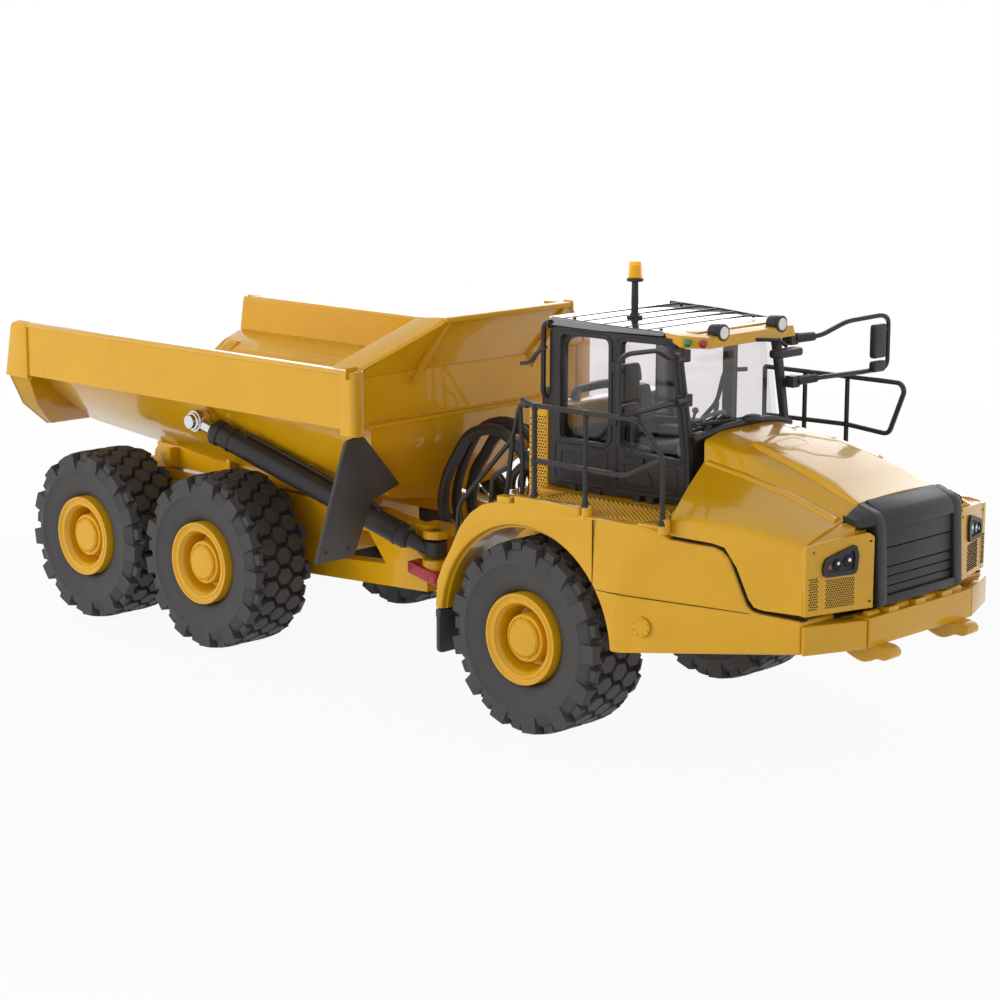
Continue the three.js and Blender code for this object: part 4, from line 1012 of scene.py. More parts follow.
fine = [[hood_at(t / 100, k) for k in range(6)] for t in range(0, 301)]
for k, size in ((4, 1.5), (3, 0.5), (2, 0.7)):
    bevel(skin, [e for e in skin.edges if near_line(e, k)], size, 3)
shell = skin.faces[:] + skin.edges[:] + skin.verts[:]
bmesh.ops.solidify(skin, geom=shell, thickness=0.9)
print("hood skin:", len(skin.faces), "faces, from z", round(min(v.co.z for v in skin.verts), 1))
piece("hood_skin", skin, "enamel", "hood", ["hood_shell"], smooth=24)

# %% Raised panel, vent and nose bolts


def hood_top(x, y):
    """Height of the hood's top at x, y."""
    t = 0
    while t < 2.99 and hood_at(t + 0.01, 0).x < x:
        t += 0.01
    middle, crown, edge = (hood_at(t, k) for k in (0, 1, 2))
    y = abs(y)
    if y <= crown.y:
        return middle.z + (crown.z - middle.z) * (y / crown.y) ** 2
    return crown.z + (edge.z - crown.z) * (y - crown.y) / (edge.y - crown.y)


RIDGE = [(0, -0.75, 0.15), (0, -0.25, 0.5), (0, 0.5, 0.32), (0, 0.95, -0.2), (0, 0, -0.6)]
ridge = bmesh.new()
bridged(ridge, [
    [hood_at(t, 3) + Vector(p) for p in RIDGE]
    for t in [0.08] + [k / 4 for k in range(1, 12)] + [2.93]
], closed=True)
soften(ridge, 0.16, 2, 30)
mirror_y(ridge)
piece("hood_ridges", ridge, "enamel", "hood", smooth=40)
raised = bmesh.new()
rings = []
for x, wide, lift in ((31.6, 7.2, 0.02), (32.6, 8.6, 0.62), (34.5, 9.3, 0.62), (40, 9.9, 0.62), (46, 10.5, 0.6),
                      (52, 11.2, 0.45), (58.8, 11.9, 0.03)):
    top = [(x, y * wide / 10, hood_top(x, 0) + lift - 0.004 * y * y) for y in (-10, -8, -5, -2, 0, 2, 5, 8, 10)]
    low = [(x, (wide + 0.7) * side, hood_top(x, wide + 0.7) - 0.5) for side in (1, -1)]
    rings.append(top + low)
bridged(raised, rings, closed=True)
soften(raised, 0.3, 3, 30)
piece("hood_raised_panel", raised, "enamel", "hood", smooth=26)
vent = bmesh.new()
slot = rounded(rect(35.4, -6.4, 38.6, 0.6), 1.5, 6)
panel(vent, offset(slot, 0.35), [offset(slot, -0.25)], "z", 55.4, 56.0)
slab(vent, offset(slot, -0.2), "z", 55.4, 55.75)
for v in vent.verts:
    v.co.z += hood_top(v.co.x, v.co.y) + 0.4 - 55.78
soften(vent, 0.12, 2, 40)
piece("hood_vent", vent, "enamel", "hood")
print("raised panel and vent:", pieces_made["hood_raised_panel"] + pieces_made["hood_vent"])

# %% [markdown]
# ## Nose panels, lamps and grille
# Beside the grille a flat panel turns back to the hood's corner. It carries a lamp in a black bezel
# and a field of perforations. Punching hundreds of real holes would make a heavy mesh, so each hole is
# a shallow dark six-sided cup that sits in the panel's face; its dark colour is painted shade, standing
# in for the shade inside a hole. A plain dark plate behind the panels keeps daylight out of the gaps
# between them and the grille.

# %% Nose panels
PANEL_A, PANEL_B = Vector((59.0, -27.4)), Vector((63.1, -13.2))
ALONG = (PANEL_B - PANEL_A).normalized()
OUT = Vector((ALONG.y, -ALONG.x))


def on_panel(s, d, z):
    """Point s along the right-hand nose panel, d outside its face."""
    spot = PANEL_A + ALONG * s + OUT * d
    return Vector((spot.x, spot.y, z))


nose = bmesh.new()
reach = (PANEL_B - PANEL_A).length
face = rounded(
    [(0, 31.3), (reach, 31.3), (reach, 43.9), (reach - 1.2, 44.7), (3.2, 44.0), (0, 43.4)],
    [0.3, 0.2, 0.4, 0.4, 0.4, 0.4],
)
slab(nose, face, "y", 0, -1.2)
pad(nose, (0.5, 31.9, 3.1, 38.2), 0.4, "y", 0.1, -0.5)
for v in nose.verts:
    v.co = on_panel(*v.co)
roof_rings = []
for x, low_y, high_y, high_z in ((58.3, 27.2, 12.9, 46.4), (59.2, 27.0, 12.9, 46.3), (60.9, 19.6, 12.9, 45.8)):
    low_z = 43.4 if x < 60 else 44.2
    roof_rings.append([
        (x, -low_y, low_z), (x, -17, high_z - 0.3), (x, -high_y, high_z), (x, -high_y, 43.2), (x, -low_y, 43.1),
    ])
bridged(nose, roof_rings, closed=True)
slab(nose, [(58.1, -27.3), (59.1, -27.3), (59.6, -25.6), (58.1, -25.6)], "z", 31.3, 43.6)
soften(nose, 0.35, 3, 30)
mirror_y(nose)
piece("nose_panels", nose, "enamel", "hood", smooth=30)
backing = bmesh.new()
slab(backing, [(-23, 32.4), (23, 32.4), (23, 43.0), (15, 46.0), (-15, 46.0), (-23, 43.0)], "x", 56.5, 57.1)
soften(backing, 0.1, 1, 40)
piece("nose_backing", backing, "satin", "hood")


def sprinkle(bm, columns, rows, s0, s1, z0, z1, size):
    """Staggered rows of small cups on the nose panel."""
    turn = Matrix((
        Vector((ALONG.x, ALONG.y, 0)), Vector((0, 0, 1)), Vector((OUT.x, OUT.y, 0)),
    )).transposed().to_4x4()
    for j in range(rows):
        for i in range(columns):
            s = s0 + (s1 - s0) * (i + (j % 2) * 0.5) / columns
            z = z0 + (z1 - z0) * j / (rows - 1)
            spot = Matrix.Translation(on_panel(s, 0.045, z)) @ turn
            cup(bm, spot, 6, size, size * 0.8, 0.09)


# Each perforation is a small cup whose dark colour is painted shade inside a hole.
holes = bmesh.new()
sprinkle(holes, 12, 13, 4.5, 10.7, 32.5, 37.2, 0.17)
start = points_of(holes)
sprinkle(holes, 4, 13, 0.85, 2.8, 32.5, 37.8, 0.17)
bmesh.ops.translate(holes, vec=(OUT.x * 0.1, OUT.y * 0.1, 0), verts=verts_since(holes, start))
for s, z in ((13.9, 43.2), (13.9, 32.6), (1.6, 42.4)):
    rod(holes, on_panel(s, 0, z), on_panel(s, 0.14, z), 0.2, 8)
mirror_y(holes)
piece("nose_perforations", holes, "hole_shade", "hood", smooth=60)

# %% Lamps beside the grille
bezel = bmesh.new()
frame_line = rounded(
    [(3.7, 38.0), (10.6, 38.0), (11.0, 41.0), (10.4, 43.0), (4.0, 41.1), (3.5, 39.6)],
    [0.9, 0.9, 0.5, 0.7, 0.7, 0.5], 5,
)
panel(bezel, offset(frame_line, 0.1), [offset(frame_line, -0.75)], "y", 0, 0.55)
slab(bezel, offset(frame_line, -0.6), "y", 0.02, 0.16)
for v in bezel.verts:
    v.co = on_panel(*v.co)
soften(bezel, 0.16, 2, 35)
sides("headlight_case_{}", bezel, "satin", "hood", ["headlight_{}"])
cups, bulbs, marker = bmesh.new(), bmesh.new(), bmesh.new()
for s, z, r in ((6.6, 39.9, 0.98), (9.0, 40.25, 1.12)):
    rod(cups, on_panel(s, 0.1, z), on_panel(s, 0.4, z), r, 24, r * 0.9)
    rod(bulbs, on_panel(s + 0.15, 0.3, z + 0.2), on_panel(s + 0.15, 0.52, z + 0.2), r * 0.42, 16, r * 0.2)
rod(marker, on_panel(4.9, 0.1, 39.6), on_panel(4.9, 0.42, 39.6), 0.5, 14, 0.42)
soften(cups, 0.06, 1, 40)
sides("headlight_glass_{}", cups, "lens", "hood")
sides("headlight_bulb_{}", bulbs, "chrome", "hood")
sides("marker_lens_{}", marker, "ruby", "hood")

# %% Grille
grille = bmesh.new()
profile = rounded(
    [
        (58.9, 46.2), (60.0, 45.9), (61.2, 45.0), (61.2, 31.4), (64.1, 31.4), (63.7, 40), (63.4, 45.9),
        (62.6, 47.5), (58.7, 49.0),
    ],
    [0, 0.5, 0.3, 0, 0.3, 0, 0.9, 1.2, 0], 4,
)
slab(grille, profile, "y", -12.7, -10.3)
slab(grille, profile, "y", 10.3, 12.7)
slab(
    grille,
    rounded(
        [(58.9, 46.2), (61.0, 44.6), (63.47, 44.6), (63.4, 45.9), (62.6, 47.5), (58.7, 49.3)],
        [0, 0, 0, 0.9, 1.2, 0], 4,
    ),
    "y", -10.4, 10.4,
)
slab(grille, [(61.2, 31.4), (64.1, 31.4), (64.0, 33.0), (61.2, 33.0)], "y", -10.4, 10.4)
slab(grille, [(61.0, 32.8), (62.5, 32.8), (62.3, 44.8), (61.0, 44.8)], "y", -10.4, 10.4)
for low, high in ((33.0, 34.4), (34.55, 36.1), (36.25, 37.8), (37.95, 41.2), (41.35, 44.7)):
    slab(
        grille,
        [(62.0, low), (63.35 - (low - 33) * 0.02, low), (63.2 - (high - 33) * 0.02, high), (62.0, high)], "y",
        -10.3, 10.3,
    )
soften(grille, 0.22, 2, 30)
cheeks = bmesh.new()
bridged(cheeks, [
    [(58.7, -12.5, 48.95), (62.5, -12.5, 47.5), (63.3, -12.5, 45.9), (61.0, -12.5, 44.7), (58.9, -12.5, 45.0)],
    [(58.7, -14.3, 48.1), (61.6, -14.3, 47.0), (62.4, -14.3, 45.6), (60.9, -14.3, 44.7), (58.9, -14.3, 45.0)],
    [(58.6, -16.2, 47.1), (60.6, -16.1, 46.5), (61.3, -16.0, 45.5), (60.6, -16.0, 44.9), (58.7, -16.1, 45.1)],
], closed=True)
soften(cheeks, 0.25, 2, 30)
mirror_y(cheeks)
absorb(grille, cheeks)
piece("grille_moulding", grille, "satin", "hood", ["grille"])
print("nose:", {k: v for k, v in pieces_made.items() if "nose" in k or "light" in k or "grille" in k})

# %% [markdown]
# ## Fenders
# Each fender is a flat-sided casting that turns inwards in front of the wheel, with a round arch. A
# boolean would cut the arch; drawing the arch as part of the outline is cleaner. The slab is cut
# across with a bisect where it bends, and its front half is shifted inwards. The shade inside the shut
# lines is painted: thin dark strips of painted shadow laid in the face. The round cover carries a ring of bolts.

# %% Fender castings
SIDE_Y, ARCH_R, DECK_Z, TYRE_IN = 34.5, TYRE_R + 2.8, 43.6, 19.8
NOSE_X, BEND_X = 58.5, 24.0


def arc(radius, start, end, steps):
    """Points on a circle around the front axle, in degrees from straight ahead."""
    turn = [math.radians(start + (end - start) * k / steps) for k in range(steps + 1)]
    return [(math.cos(a) * radius, AXLE_Z + math.sin(a) * radius) for a in turn]


def tuck_in(bm):
    """Turns the fender inwards in front of the wheel."""
    cut_across(bm, (BEND_X, 0, 0), (1, 0, 0))
    for v in bm.verts:
        if v.co.x > BEND_X:
            share = (v.co.x - BEND_X) / (NOSE_X - BEND_X)
            v.co.y += share * (6.9 if v.co.y < -25 else 1.3)


crest = [(-18.9, 32.6), (-16.6, 37.0), (-13.8, 40.2), (-10.6, 42.3), (-7, 43.2), (-2, DECK_Z)]
meets = [
    (28, DECK_Z), (31.5, 43.1), (33, 41.9), (38, 41.6), (41.6, 41.5), (43.2, 41.0), (44.5, 39.9), (45.8, 37.2),
    (47.0, 34.4),
    (48.1, 32.0), (49.0, 31.1), (50.6, 30.8), (NOSE_X, 30.4),
]
outline = [(-22.9, 20.4), (-22.4, 26.0), (-20.9, 29.4)] + crest + meets + [(NOSE_X, 24.6), (22.2, 19.8)]
outline += arc(ARCH_R, 3.8, 174.6, 40)
fender = bmesh.new()
slab(fender, outline, "y", -SIDE_Y, -TYRE_IN + 0.5)
tuck_in(fender)
soften(fender, 0.5, 3, 32)
lip = bmesh.new()
slab(lip, arc(ARCH_R, 4, 174, 40) + arc(ARCH_R - 0.5, 174, 4, 40), "y", -SIDE_Y + 1.2, -SIDE_Y + 4.6)
absorb(fender, lip)
block(fender, (CAB_REAR, -TYRE_IN - 0.2, 41.0), (BEND_X, -10, DECK_Z - 0.05))
start = points_of(fender)
pad(fender, (-2.6, -34.35, 13.6, -32.3), 0.7, "z", 43.2, 45.0)
pad(fender, (-7.2, -34.2, -3.6, -31.4), 0.7, "z", 42.5, 44.4)
for x in (2.2, 14.6, 32.6):
    rod(fender, (x, -33.2, 42.8), (x, -33.2, 45.6), 1.15, 20, 1.0)
slab(fender, rounded([(26.6, -33.6), (31, -32.6), (31, -30.4), (26.6, -30.8)], 0.5), "z", 43.0, 44.0)
soften(fender, 0.22, 2, 35, faces_since(fender, start))
sides("fender_casting_{}", fender, "enamel", "front_unit", ["fender_{}"])

# %% Painted shadow in the shut lines, cover bolts and deck studs
# Thin dark strips of painted shadow stand in for the shade inside the shut lines.
gap_shade_strips = bmesh.new()
slab(gap_shade_strips, rect(16.92, 29.6, 17.08, 43.3), "y", -SIDE_Y - 0.03, -SIDE_Y + 0.2)
slab(gap_shade_strips, rect(17.0, 30.7, 48.8, 30.58), "y", -SIDE_Y - 0.03, -SIDE_Y + 0.2)
gap = meets[2:]
slab(
    gap_shade_strips, [(x, z - 0.05) for x, z in gap] + [(x + 0.15, z + 0.22) for x, z in reversed(gap)], "y",
    -SIDE_Y + 0.45, -SIDE_Y + 1.6,
)
tuck_in(gap_shade_strips)
sides("fender_lines_{}", gap_shade_strips, "painted_gap_shade", "front_unit")
cover = bmesh.new()
COVER_X, COVER_Z, COVER_R, COVER_BOLT_R, COVER_BOLTS = 27.9, 25.4, 1.85, 1.5, 8
rod(cover, (COVER_X, -SIDE_Y - 0.16, COVER_Z), (COVER_X, -SIDE_Y + 0.3, COVER_Z), COVER_R, 32)
for k in range(COVER_BOLTS):
    a = (k + 0.5) * math.tau / COVER_BOLTS
    x, z = COVER_X + COVER_BOLT_R * math.cos(a), COVER_Z + COVER_BOLT_R * math.sin(a)
    rod(cover, (x, -SIDE_Y - 0.34, z), (x, -SIDE_Y, z), 0.2, 6)
tuck_in(cover)
sides("fender_cover_{}", cover, "enamel", "front_unit")
studs = bmesh.new()
for i in range(24):
    for j in range(12):
        x, y = -1.0 + i * 1.15, -31.2 + j * 0.95
        if y < -18.4 and x < 30 - (y + 31.2) * 0.35:
            cup(studs, Matrix.Translation((x, y, DECK_Z + 0.08)), 5, 0.3, 0.18, 0.26)
sides("deck_studs_{}", studs, "enamel", "front_unit", smooth=60)
flaps = bmesh.new()
pad(flaps, (-34.3, 11.6, -20.0, 20.3), [1.2, 1.2, 0.2, 0.2], "x", -22.7, -21.8)
slab(flaps, rect(-34.2, 18.6, -20.2, 20.2), "x", -22.95, -21.6)
soften(flaps, 0.18, 2, 40)
sides("fender_mudflap_{}", flaps, "flap", "front_unit", ["fender_flap_{}"])

# %% [markdown]
# ## Bumper and tow hooks
# The bumper is three straight plates with a shut line between them, three lugs and two rollers along
# its top, and two thick tow hooks with a double-lobed outline. Slabs with softened edges give the
# plates, and the hook is one outline pushed to its thickness. A dark plate behind closes the gaps.

# %% Bumper
bumper = bmesh.new()
pad(bumper, (60.6, -15.7, 64.4, 15.7), [0.2, 0.5, 0.5, 0.2], "z", 24.8, 30.0)
slab(bumper, [(58.8, -17.0), (60.6, -14.5), (60.6, 14.5), (58.8, 17.0)], "z", 25.2, 29.6)
soften(bumper, 0.35, 3, 35)
wing = bmesh.new()
slab(wing, [(58.8, -27.9), (59.4, -27.9), (64.15, -16.1), (60.4, -16.1), (58.8, -18.0)], "z", 24.6, 29.75)
soften(wing, 0.35, 3, 35)
mirror_y(wing)
absorb(bumper, wing)
start = points_of(bumper)
for y in (-8.2, 0, 8.2):
    slab(bumper, rounded([(61.2, 29.4), (64.0, 29.4), (64.0, 30.9), (61.2, 30.75)], 0.25), "y", y - 1.5, y + 1.5)
for y in (-4.1, 4.1):
    rod(bumper, (62.3, y - 2.0, 30.1), (62.3, y + 2.0, 30.1), 0.75, 16)
for y in (-12.6, 12.6):
    rod(bumper, (62.3, y - 1.8, 30.05), (62.3, y + 1.8, 30.05), 0.65, 16)
hook = rounded([
    (56.6, 25.4), (57.4, 22.9), (59.6, 21.9), (61.6, 21.35), (63.4, 21.9), (64.4, 22.5), (66.2, 22.35),
    (67.3, 23.0), (67.3, 24.1),
    (66.2, 24.8), (64.2, 24.9), (63.2, 25.4),
], [0.2, 1, 1, 1, 0.8, 0.8, 0.8, 0.8, 0.8, 0.8, 0.5, 0.2], 4)
for y in (-12, 12):
    slab(bumper, hook, "y", y - 1.7, y + 1.7)
soften(bumper, 0.22, 2, 35, faces_since(bumper, start))
piece("bumper_plates", bumper, "enamel", "front_unit", ["front_bumper"])
backing = bmesh.new()
block(backing, (57.4, -26.2, 25.6), (58.0, 26.2, 31.0))
soften(backing, 0.1, 1, 40)
piece("bumper_backing", backing, "satin", "front_unit")
print("bumper:", pieces_made["bumper_plates"], "triangles")

# %% [markdown]
# ## The dump body
# The tipping body is welded from bent plate: a rounded hull, a flat ledge, upright side plates, and a
# front wall that slopes under the cab and leans over it above. One section line runs from rim to rim,
# and copies of it are bridged from tail to front. The front line is then bridged to its own mirror
# image, which makes the front wall. Solidify gives every plate its thickness at once. Planks between
# two outlines in space make the canopy, the rims, the tail lip and a sloped liner along the ledge.

# %% Hull, ledge, sides and front wall
LEDGE_Z, RIM_Z, TAIL_X, FRONT_X, TAIL_CORNER = 51.8, 63.3, -160.4, -46.0, 1.7
HULL = [
    (-163.4, [(29.4, 0), (24.5, 3.6), (18.5, 7.8), (11.5, 12.8), (0, 13)]),
    (-132, [(28.9, 0), (25, 4.8), (19.5, 10.3), (11.5, 15.6), (0, 15.8)]),
    (-110, [(28.5, 0), (26.3, 4.5), (22, 10.2), (15.5, 16), (0, 17.8)]),
    (-78, [(28.6, 0), (26.4, 4.5), (22.2, 10.2), (15.8, 16.4), (0, 18.8)]),
    (-40, [(29, 0), (27, 5), (23, 10.8), (15, 17.3), (0, 19.4)]),
]


def through(points, pieces):
    """A smooth line through the given points."""
    line = [Vector(p) for p in points]
    padded = [2 * line[0] - line[1]] + line + [2 * line[-1] - line[-2]]
    out = []
    for a, b, c, d in zip(padded, padded[1:], padded[2:], padded[3:]):
        for k in range(pieces):
            t = k / pieces
            curve = (2 * a - 5 * b + 4 * c - d) * t * t + (3 * b - a - 3 * c + d) * t ** 3
            out.append(0.5 * (2 * b + (c - a) * t + curve))
    return out + [line[-1]]


def hull_line(x):
    """Half of the hull under the ledge at x, as |y| and z from the ledge down to the middle."""
    for (x0, a), (x1, b) in zip(HULL, HULL[1:]):
        if x <= x1:
            t = (x - x0) / (x1 - x0)
            mixed = [Vector(p).lerp(Vector(q), t) for p, q in zip(a, b)]
            return [Vector((p.x, LEDGE_Z - p.y)) for p in through(mixed[:4], 4) + [mixed[4]]]
    return hull_line(HULL[-1][0])


def tail_x(z):
    """Where the slanted tail edge is at height z."""
    return TAIL_X + (z - 38) * 5.2 / 25.3


def front_x(z):
    """Where the front wall is at height z."""
    table = [(30, -58.0), (36, -53.9), (42, -50.5), (47, -47.6), (LEDGE_Z, FRONT_X), (90, FRONT_X)]
    for (z0, x0), (z1, x1) in zip(table, table[1:]):
        if z <= z1:
            return x0 + (x1 - x0) * (z - z0) / (z1 - z0)


body = bmesh.new()
stations = [-163.4, -155, -145, -132, -121, -110, -95, -78, -68, -58, -50, -40]
chains = []
for x in stations:
    hull = hull_line(x)
    half = [Vector((SIDE_Y, RIM_Z)), Vector((SIDE_Y, LEDGE_Z)), Vector((31.5, LEDGE_Z))] + hull
    right_half = [Vector((x, -p.x, p.y)) for p in half]
    chain = right_half + [Vector((p.x, -p.y, p.z)) for p in reversed(right_half[:-1])]
    for p in chain:
        if x == stations[0]:
            p.z = min(p.z, RIM_Z - TAIL_CORNER)
            p.x = tail_x(p.z)
        elif x == stations[1] and p.z == RIM_Z:
            p.x = tail_x(RIM_Z) + TAIL_CORNER
        elif x == stations[-1]:
            p.x = front_x(p.z)
        else:
            p.x = min(p.x, front_x(p.z) - 0.4 * (FRONT_X - x) / 12)
    chains.append(chain)
bridged(body, chains)
last = chains[-1]
middle = len(last) // 2
ends = {tuple(round(c, 3) for c in v.co): v for v in body.verts}


def corner(p):
    """The skin's vertex at a point of the front line."""
    return ends[tuple(round(c, 3) for c in p)]


right_edge = [corner(p) for p in last[:middle + 1]]
left_edge = [corner(p) for p in reversed(last[middle:])]
for i in range(middle):
    quad = [right_edge[i], right_edge[i + 1], left_edge[i + 1], left_edge[i]]
    body.faces.new(list(dict.fromkeys(quad)))
bmesh.ops.recalc_face_normals(body, faces=body.faces)
bottom = min(body.faces, key=lambda f: f.calc_center_median().z)
if bottom.normal.z > 0:
    bmesh.ops.reverse_faces(body, faces=body.faces)
print("body skin:", len(body.faces), "faces")
plates = piece("body_plates", body, "enamel", "dump_body", ["dump_body"], smooth=28, outward=False)
wall = plates.modifiers.new("plate_thickness", "SOLIDIFY")
wall.thickness, wall.offset, wall.use_even_offset = 1.4 * MM, -1, False
soft = plates.modifiers.new("soft_edges", "BEVEL")
soft.width, soft.segments, soft.limit_method, soft.angle_limit = 0.45 * MM, 3, "ANGLE", math.radians(38)

# %% Canopy, flanges, posts and ribs
canopy = bmesh.new()


def plank(bm, low, high, size=0.25, both=False):
    """A closed solid between two matching outlines in space, softened and added on one or both sides."""
    part = bmesh.new()
    bridged(part, [low, high], closed=True)
    soften(part, size, 2, 35)
    if both:
        mirror_y(part)
    absorb(bm, part)


plank(canopy, [(-46.0, -33.6, 61.9), (-46.0, 33.6, 61.9), (-47.3, 33.6, 61.9), (-47.3, -33.6, 61.9)],
      [(-36.0, -18, 73.2), (-36.0, 18, 73.2), (-37.3, 18, 73.2), (-37.3, -18, 73.2)], 0.2)
plank(canopy, [(-37.8, -18.2, 72.2), (-35.6, -18.2, 72.2), (-35.6, -18.2, 73.3), (-37.8, -18.2, 73.3)],
      [(-37.8, 18.2, 72.2), (-35.6, 18.2, 72.2), (-35.6, 18.2, 73.3), (-37.8, 18.2, 73.3)], 0.3)
plank(canopy, [(-53.2, -34.4, 62.2), (-45.8, -34.4, 62.2), (-45.8, -33.2, 63.4), (-53.2, -33.2, 63.4)],
      [(-43.4, -18.6, 72.2), (-35.7, -18.6, 72.2), (-35.7, -17.6, 73.3), (-43.4, -17.6, 73.3)], 0.3, both=True)
plank(canopy, [(-46.6, -17.2, 59.0), (-46.6, -18.0, 59.0), (-45.7, -18.0, 59.0), (-45.7, -17.2, 59.0)],
      [(-38.2, -16.4, 72.6), (-38.2, -17.2, 72.6), (-35.9, -17.2, 72.6), (-35.9, -16.4, 72.6)], 0.15, both=True)
plank(canopy, [(-45.7, -31, 51.5), (-45.7, -31, 52.3), (-46.6, -31, 52.3), (-46.6, -31, 51.5)],
      [(-45.7, 31, 51.5), (-45.7, 31, 52.3), (-46.6, 31, 52.3), (-46.6, 31, 51.5)], 0.2)
post = rounded(rect(-48.6, -34.85, -44.7, -31.2), [0.5, 1.5, 1.5, 0.5], 5)
plank(canopy, [(x, y, 50.6) for x, y in post], [(x, y, 63.4) for x, y in post], 0.3, both=True)
strip = rounded([(-157.6, 51.2), (-149.6, 51.0), (-149.6, 63.5), (-155.1, 63.5)], [0.4, 0.4, 0.4, TAIL_CORNER])
plank(canopy, [(x, -35.0, z) for x, z in strip], [(x, -33.8, z) for x, z in strip], 0.2, both=True)
plank(canopy, [(-153.3, -34.95, 62.4), (-153.3, -34.95, 63.6), (-153.3, -33.0, 63.6), (-153.3, -33.0, 62.4)],
      [(FRONT_X, -34.95, 62.4), (FRONT_X, -34.95, 63.6), (FRONT_X, -33.0, 63.6), (FRONT_X, -33.0, 62.4)],
      0.55, both=True)
liner = [(33.3, 55.2), (28.8, 53.3), (26.9, 51.6), (27.3, 50.9), (28.3, 52.3), (33.3, 52.6)]
plank(
    canopy, [(tail_x(z) + 0.3, -y, z) for y, z in liner], [(FRONT_X - 0.8, -y, z) for y, z in liner], 0.05,
    both=True,
)
lip = [
    (34.6, 52.3), (29.6, 44.2), (22.4, 38.7), (11.5, 38.5), (11.5, 40.2), (18.0, 44.6), (24.0, 49),
    (29.0, 53.2), (34.6, 53.2),
]


def lip_depth(z):
    """How far the tail lip reaches forward; its foot stays clear of the wheels when the body is up."""
    return 1.5 if z < 41 else 4.4 if z < 50 else 5.8


plank(canopy, [(tail_x(z) + 0.4, -y, z) for y, z in lip],
      [(tail_x(z) + lip_depth(z), -y * (0.97 if y > 25 else 1), z) for y, z in lip], 0.25, both=True)
foot = [
    (tail_x(38.5) + 0.4, 38.5), (tail_x(38.5) + 1.5, 38.5), (tail_x(38.5) + 1.5, 40.0),
    (tail_x(38.5) + 0.7, 40.0),
]
plank(canopy, [(x, -22.0, z) for x, z in foot], [(x, 22.0, z) for x, z in foot], 0.25)
piece("body_canopy_and_rims", canopy, "enamel", "dump_body", smooth=30)

# %% Hinge lugs, hoist bosses and rest rails
TIP_X, TIP_Z = -134.0, 32.5
FOOT_X, FOOT_Y = -42, -15
EYE_X, EYE_Z = -96.4, 47.5
fittings = bmesh.new()
for side in (-1, 1):
    rod(fittings, (TIP_X, 6 * side, TIP_Z), (TIP_X, 8.2 * side, TIP_Z), 2.6, 28)
    block(fittings, (TIP_X - 2.6, min(6 * side, 8.2 * side), TIP_Z), (TIP_X + 2.6, max(6 * side, 8.2 * side), 36.7))
    boss = bmesh.new()
    rod(boss, (EYE_X, 22 * side, EYE_Z), (EYE_X, 28.6 * side, EYE_Z), 2.5, 32, 2.4)
    cut = cut_across(boss, (EYE_X, 25.3 * side, EYE_Z), (0, 0.82 * side, -0.57), clear_inner=True)
    bmesh.ops.contextual_create(boss, geom=only(cut["geom_cut"], bmesh.types.BMEdge))
    absorb(fittings, boss)
    rod(fittings, (EYE_X, 28.6 * side, EYE_Z), (EYE_X, 28.75 * side, EYE_Z), 1.9, 32)
    rail = [(-131.0, 33.4), (-128.6, 31.7), (-62.0, 31.7), (-62.0, 34.0), (-80, 35.0), (-110, 35.8), (-131, 36.8)]
    slab(fittings, rail, "y", min(10.7 * side, 13.8 * side), max(10.7 * side, 13.8 * side))
    for x in (-124, -104, -84):
        plate = rect(x - 0.6, 33, x + 0.6, 36.3)
        slab(fittings, plate, "y", min(13.6 * side, 16.4 * side), max(13.6 * side, 16.4 * side))
soften(fittings, 0.2, 2, 40)
piece("body_fittings", fittings, "enamel", "dump_body")
print("body:", {k: v for k, v in pieces_made.items() if "body" in k})

# %% [markdown]
# ## Rubber flaps and hoist cylinders
# The flap under each front corner is a thick rubber sheet with soft folds; here a bisect gives it one
# fold line and a shear leans it back. The hoists are turned parts: barrels with collars and
# welded ports, and a bright eye and pin at the upper end. Cones and cylinders joined end to end do it.

# %% Flaps
FLAP_TOP, FLAP_LEAN = 50.5, 0.363
flap = bmesh.new()
outline = rounded([
    (-35.3, 49.8), (-31.2, FLAP_TOP), (-18.0, 38.6), (-23.9, 35.9), (-24.7, 23.8), (-35.0, 23.7), (-35.3, 42.4),
], [1.0, 1.2, 0.8, 1.2, 0.8, 0.8, 2.0], 4)
slab(flap, outline, "x", -46.7, -45.8)
fold_at, fold_across = Vector((0, -31.6, 50)), Vector((0, 0.89, 0.46))
cut_across(flap, fold_at, fold_across)
for v in flap.verts:
    past = max(0, (Vector((0, v.co.y, v.co.z)) - fold_at).dot(fold_across))
    v.co.x += FLAP_LEAN * (v.co.z - FLAP_TOP) + past * 0.16
soften(flap, 0.2, 2, 40)
for y, z in ((-33.2, 26.0), (-27.0, 26.0), (-33.8, 47.5), (-31.4, 48.6)):
    x = -45.8 + FLAP_LEAN * (z - FLAP_TOP)
    rod(flap, (x - 0.1, y, z), (x + 0.18, y, z), 0.42, 12, 0.34)
sides("corner_flap_{}", flap, "flap", "dump_body", ["body_flap_{}"])

# %% Hoist cylinders
HOIST_FOOT, HOIST_EYE = Vector((FOOT_X, FOOT_Y, 25)), Vector((EYE_X, -31, EYE_Z))
REACH = (HOIST_EYE - HOIST_FOOT).length


def along(s, up=0, left=0):
    """Point s from the foot towards the eye, moved up and to the left."""
    return HOIST_FOOT.lerp(HOIST_EYE, s / REACH) + Vector((0, left, up))


